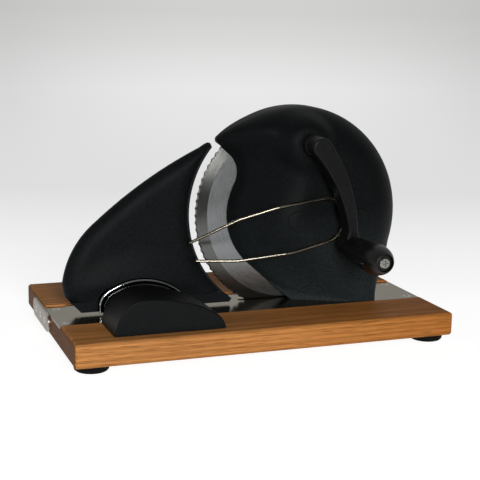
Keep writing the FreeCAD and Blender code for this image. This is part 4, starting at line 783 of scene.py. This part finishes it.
class SLICER_OT_shell(bpy.types.Operator):
    """Give the housing and everything moulded with it its fine black grain"""
    bl_idname = "slicer.shell"
    bl_label = "Moulded shell"

    def execute(self, context):
        colours = context.scene.slicer_colours
        sizes = context.scene.slicer_sizes
        # The last two numbers are painted light and shade by height: the shell is lighter at its foot, and shell and
        # plate are darker at the top
        grain = spark_texture("spark_textured_shell", colours.shell, 0.5, 0.0011, 0.45, 0.06, 2.6, 0.5)
        plate_grain = spark_texture("spark_textured_plate", colours.shell, 0.5, 0.0011, 0.45, 0.06, 0.9, 0.6)
        dress(plate_grain, "guide_face", "stop_carriage")
        dress(grain, "deflector_clamp")
        dress(spark_texture("satin_arm", colours.arm, 0.4, 0.0009, 0.12, 0.12), "crank_arm", "crank_collar")

        outline = shell_outline()
        recess = [within(arc((0, 0), reach, -70, 145, 2.5), outline) for reach in RECESS_WALL]
        boss = [arc((0, CRANK_UP), reach, 0, 360, 2)[:-1] for reach in BOSS_RINGS]
        boss = [(ring[gap(ring, outline) > 9], 1.1) for ring in boss]
        left, right, rise, height = PLINTH_CREASE
        across = np.linspace(left, right, 30)
        crease = np.stack([across, across * rise + height], 1)
        lines = [*recess, within(crease, outline)]
        mesh = relief(outline, shell_front, shell_back, SHELL_SPACING, SHELL_RINGS, lines, boss, AXIS)
        new_piece("moulded_housing", mesh, [grain], "base", ["housing"])

        inner = drawn_in(outline, COVER_INSET)
        inner = inner[inside(inner, outline) & (gap(inner, outline) > COVER_ROOM)]
        new_piece("gear_cover_plate", ring_plate(inner, COVER_HOLE, *COVER_DEPTHS, AXIS),
                  [NODES["gear_cover"].material_slots[0].material], "base", ["gear_cover"])

        half = sizes.badge_line / MM / 2
        oval = np.concatenate([arc((BADGE[0] + reach, BADGE[1]), BADGE_ROUND, start, start + 180)
                               for reach, start in ((BADGE_HALF, -90), (-BADGE_HALF, 90))])
        path = np.column_stack([oval + np.array(AXIS), shell_front(oval)])
        profile = [(half * math.cos(angle), BADGE_HIGH * math.sin(angle) - BADGE_SUNK)
                   for angle in np.linspace(0, math.pi, 7)]
        new_piece("badge_line", swept(path, profile, True), [grain], "base")

        outline = drawn(STOP_CORNERS)[::-1]
        across = np.linspace(-162, -8, 60)
        heights = (FLANGE_TOP, FLANGE_TOP + FLANGE_STEP, PILLOW_BOTTOM - 0.05, PILLOW_BOTTOM + 0.05)
        lines = [within(np.stack([across, across * 0 + up], 1), outline, 0.4) for up in heights]
        lines += [arch(inset) for inset in SOCKET_WALL]
        mesh = relief(outline, stop_front, stop_back, STOP_SPACING, STOP_RINGS, lines)
        new_piece("pillow_plate", mesh, [plate_grain], "stop_set", ["stop_plate"])
        return {"FINISHED"}


class SLICER_OT_block(bpy.types.Operator):
    """Finish the sliding block and the chrome bezel behind it"""
    bl_idname = "slicer.block"
    bl_label = "Block and bezel"

    def execute(self, context):
        colours = context.scene.slicer_colours
        dress(block_plastic(colours), "thickness_block")
        chrome = bright_metal("bright_chrome", colours.chrome, 0.1)
        route = arch(BEZEL_HALF, 1.0)
        route = route[:int(np.argmax(route[:, 0])) + 1]
        path = np.column_stack([route, np.full(len(route), BEZEL_FOOT)])
        crown = [(BEZEL_HALF * math.cos(angle), BEZEL_WALL + BEZEL_HALF * math.sin(angle))
                 for angle in np.linspace(0, math.pi, 11)]
        mesh = swept(path, [(BEZEL_HALF, 0), *crown, (-BEZEL_HALF, 0)])
        new_piece("polished_bezel", mesh, [chrome], "stop_set", ["chrome_bezel"])
        return {"FINISHED"}


class SLICER_OT_grip(bpy.types.Operator):
    """Polish the crank's knob and the bent wire, and blacken the knob's washer"""
    bl_idname = "slicer.grip"
    bl_label = "Grip and wire"

    def execute(self, context):
        colours = context.scene.slicer_colours
        dress(glossy_phenolic(colours), "grip", "grip_washer")
        dress(bright_metal("polished_wire", colours.wire, 0.14), "deflector_wire")
        return {"FINISHED"}


class SLICER_OT_blade(bpy.types.Operator):
    """Finish the round blade"""
    bl_idname = "slicer.blade"
    bl_label = "Blade"

    def execute(self, context):
        colours = context.scene.slicer_colours
        flat = turned_blade("polished_blade", colours.blade, 0.27, BLADE_AXIS, 1200, 5, 0.2)
        bevel = turned_blade("ground_bevel", colours.bevel, 0.21, BLADE_AXIS, 1000, 9, 0.92)
        facet = bright_metal("ground_waves", colours.bevel, 0.3)
        mesh, kinds = blade_points(context.scene.slicer_sizes)
        new_piece("waved_blade", mesh, [flat, bevel, facet], "blade_set", ["blade"], 12, kinds)
        return {"FINISHED"}


# Painted shade on the white paper: the tone its glow falls to in the middle and at the sides of the picture, by the
# logarithm of its depth in metres
PAPER_PAINTED_SHADE = [(-0.96, "ffffff", "ffffff"), (-0.77, "fbfbfb", "fbfbfb"), (-0.585, "f7f7f7", "f7f7f7"),
         (-0.444, "f3f3f3", "f3f3f3"), (-0.31, "eeeeee", "ededed"), (-0.187, "e6e6e6", "e5e5e5"),
         (-0.086, "dfdfdf", "dedede"), (0.2, "e4e4e4", "dbdbdb"), (0.477, "e9e9e9", "d7d7d7"),
         (0.9, "d9d9d8", "cbcbca"), (1.4, "d1d1d0", "c5c5c4")]
PAPER_START, PAPER_END = -1, 1.5
# Camera fitted to the photograph: its place in metres, its turn, tilt down and roll in degrees, and its lens
CAMERA_PLACE = (-0.36636, -0.99568, 0.30795)
CAMERA_YAW, CAMERA_PITCH, CAMERA_ROLL = (math.radians(angle) for angle in (20.267, 11.734, 0.942))
CAMERA_LENS, CAMERA_WIDTH = 86.76, 36
CAMERA_BACK = 1.05
# Square of the slope of a ray to the picture's sides
SIDE_SQUARE = 0.04
# Share of the paper's white that is left to the lamps round the slicer, and how strongly the rest glows there
LAMP_SHARE, GLOW_LEAST = 0.38, 0.89
# Name, degrees to the right of the front, degrees up, distance and width in metres, and watts
LAMPS = [("key_box", -9, 13, 2.2, 0.6, 34), ("left_box", -62, 20, 2.4, 1.0, 4), ("back_box", 165, 35, 2.4, 1.2, 1)]
FLOOR_HALF = 30


def shown(tree):
    """1 where the camera, a reflection or clear material shows the background itself, and 0 where it only lights."""
    paths = add(tree, "LightPath")
    straight = add(tree, "Math", {0: paths.outputs["Is Camera Ray"], 1: paths.outputs["Is Glossy Ray"]},
                   operation="MAXIMUM")
    return add(tree, "Math", {0: straight, 1: paths.outputs["Is Transmission Ray"]}, operation="MAXIMUM")


def sideways(tree, slope):
    """How far out towards the picture's sides something lies, by its slope from the middle."""
    square = add(tree, "Math", {0: slope, 1: 2}, operation="POWER")
    return add(tree, "MapRange", {"Value": square, "From Max": SIDE_SQUARE})


def pale_floor(colours):
    """Matt white paper: its glow is white round the slicer and greys behind it as painted shade, and it ends in a
    dim room in front.
    """
    material = bpy.data.materials.new("matt_paper")
    tree = bare_tree(material)
    spot = add(tree, "TexCoord").outputs["Object"]
    # Turned so that Y runs straight back in the picture and X across it
    turned = add(tree, "Mapping", {"Vector": spot, "Rotation": (0, 0, CAMERA_YAW)}, vector_type="POINT")
    parts = add(tree, "SeparateXYZ", {0: turned})
    depth = add(tree, "Math", {0: parts.outputs["Y"], 1: 0.1}, operation="MAXIMUM")
    power = add(tree, "Math", {0: depth, 1: 10}, operation="LOGARITHM")
    share = add(tree, "MapRange", {"Value": power, "From Min": PAPER_START, "From Max": PAPER_END})
    span = PAPER_END - PAPER_START
    # The glow greys with depth and towards the sides: painted shade of the light falling off
    centre, sides = (ramp(tree, share, [((row[0] - PAPER_START) / span, linear(row[part])) for row in PAPER_PAINTED_SHADE])
                     for part in (1, 2))
    wide = add(tree, "Math", {0: parts.outputs["Y"], 1: CAMERA_BACK}, operation="ADD")
    slant = add(tree, "Math", {0: parts.outputs["X"], 1: wide}, operation="DIVIDE")
    tone = add(tree, "MixRGB", {"Fac": sideways(tree, slant), "Color1": centre, "Color2": sides})
    unturned = add(tree, "SeparateXYZ", {0: spot})
    room = add(tree, "MapRange", {"Value": unturned.outputs["Y"], "From Min": -0.62, "From Max": -0.4,
                                  "To Min": 1, "To Max": 0})
    seen_tone = add(tree, "MixRGB", {"Fac": room, "Color1": tone, "Color2": colours.room})
    # Round the slicer a part of the paper's white is left to the lamps, so that it takes the shadow
    reach = add(tree, "VectorMath", {0: spot}, operation="LENGTH")
    lit = add(tree, "MapRange", {"Value": reach.outputs["Value"], "From Min": 0.35, "From Max": 0.8,
                                 "To Min": LAMP_SHARE, "To Max": 0})
    glow_share = add(tree, "MapRange", {"Value": lit, "From Max": LAMP_SHARE, "To Min": 1, "To Max": GLOW_LEAST})
    paper = add(tree, "BsdfDiffuse", {"Color": colours.floor})
    grey = add(tree, "MixRGB", {"Fac": lit, "Color1": BLACK, "Color2": colours.floor})
    part_lit = add(tree, "BsdfDiffuse", {"Color": grey})
    glow = add(tree, "Emission", {"Color": seen_tone, "Strength": glow_share})
    both = add(tree, "AddShader", {0: part_lit, 1: glow})
    mixed = add(tree, "MixShader", {0: shown(tree), 1: paper, 2: both})
    add(tree, "OutputMaterial", {"Surface": mixed})
    return material


def studio_world(colours):
    """Pale behind the slicer and dim in front of it for the camera and the metal, and a low plain light."""
    world = bpy.data.worlds.new("studio")
    tree = bare_tree(world)
    way = add(tree, "TexCoord").outputs["Generated"]
    ahead = add(tree, "SeparateXYZ", {0: way})
    behind = add(tree, "MapRange", {"Value": ahead.outputs["Y"], "From Min": -0.35, "From Max": 0.3})
    across = add(tree, "VectorMath", {0: way, 1: (math.cos(CAMERA_YAW), -math.sin(CAMERA_YAW), 0)},
                 operation="DOT_PRODUCT")
    far = add(tree, "MixRGB", {"Fac": sideways(tree, across.outputs["Value"]), "Color1": colours.floor_far,
                               "Color2": colours.floor_side})
    tone = add(tree, "MixRGB", {"Fac": behind, "Color1": colours.room, "Color2": far})
    plain = add(tree, "Background", {"Color": WHITE, "Strength": 0.06})
    pale = add(tree, "Background", {"Color": tone, "Strength": 1})
    mixed = add(tree, "MixShader", {0: shown(tree), 1: plain, 2: pale})
    add(tree, "OutputWorld", {"Surface": mixed})
    return world


def soft_lamp(name, azimuth, elevation, distance, size, power):
    """A square soft box that looks at the slicer; azimuth 0 stands in front of it, in degrees to the right."""
    turn, rise = math.radians(azimuth), math.radians(elevation)
    away = Vector((math.sin(turn) * math.cos(rise), -math.cos(turn) * math.cos(rise), math.sin(rise)))
    lamp = bpy.data.lights.new(name, "AREA")
    lamp.shape = "SQUARE"
    lamp.size = size
    lamp.energy = power
    holder = stand(name, lamp)
    holder.location = Vector((0, 0, 0.08)) + away * distance
    holder.rotation_euler = away.to_track_quat("Z", "Y").to_euler()


class SLICER_OT_studio(bpy.types.Operator):
    """Set up the pale floor, the soft lamps and the camera at the photograph's angle"""
    bl_idname = "slicer.studio"
    bl_label = "Studio and camera"

    def execute(self, context):
        colours = context.scene.slicer_colours
        floor_mesh = bpy.data.meshes.new("floor")
        corners = [(-1, -1), (1, -1), (1, 1), (-1, 1)]
        floor_mesh.from_pydata([(x * FLOOR_HALF, y * FLOOR_HALF, 0) for x, y in corners], [], [(0, 1, 2, 3)])
        floor_mesh.materials.append(pale_floor(colours))
        floor = stand("floor", floor_mesh)
        context.scene.world = studio_world(colours)
        for lamp in LAMPS:
            soft_lamp(*lamp)

        lens = bpy.data.cameras.new("camera")
        lens.sensor_width = CAMERA_WIDTH
        lens.lens = CAMERA_LENS
        camera = stand("camera", lens)
        turn = Euler((math.pi / 2 - CAMERA_PITCH, 0, -CAMERA_YAW)).to_matrix() @ Matrix.Rotation(CAMERA_ROLL, 3, "Z")
        camera.matrix_world = Matrix.Translation(CAMERA_PLACE) @ turn.to_4x4()
        context.scene.camera = camera
        context.scene.view_settings.view_transform = "Standard"
        return {"FINISHED"}


OPERATORS = [SLICER_OT_studio, SLICER_OT_board, SLICER_OT_steelwork, SLICER_OT_shell, SLICER_OT_block,
             SLICER_OT_grip, SLICER_OT_blade]


class SLICER_PT_pieces(bpy.types.Panel):
    """Steps that dress the bread slicer"""
    bl_idname = "SLICER_PT_pieces"
    bl_label = "Bread slicer"
    bl_space_type = "VIEW_3D"
    bl_region_type = "UI"
    bl_category = "Slicer"

    def draw(self, context):
        column = self.layout.column()
        for group in (context.scene.slicer_sizes, context.scene.slicer_colours):
            for name in group.bl_rna.properties.keys():
                if name not in ("rna_type", "name"):
                    column.prop(group, name)
        for operator in OPERATORS:
            column.operator(operator.bl_idname)


CLASSES = [SlicerSizes, SlicerColours, *OPERATORS, SLICER_PT_pieces]


def register():
    for entry in CLASSES:
        bpy.utils.register_class(entry)
    bpy.types.Scene.slicer_sizes = bpy.props.PointerProperty(type=SlicerSizes)
    bpy.types.Scene.slicer_colours = bpy.props.PointerProperty(type=SlicerColours)


def unregister():
    del bpy.types.Scene.slicer_colours
    del bpy.types.Scene.slicer_sizes
    for entry in reversed(CLASSES):
        bpy.utils.unregister_class(entry)


def main():
    register()
    for operator in OPERATORS:
        group, name = operator.bl_idname.split(".")
        getattr(getattr(bpy.ops, group), name)()


if __name__ == "__main__":
    main()
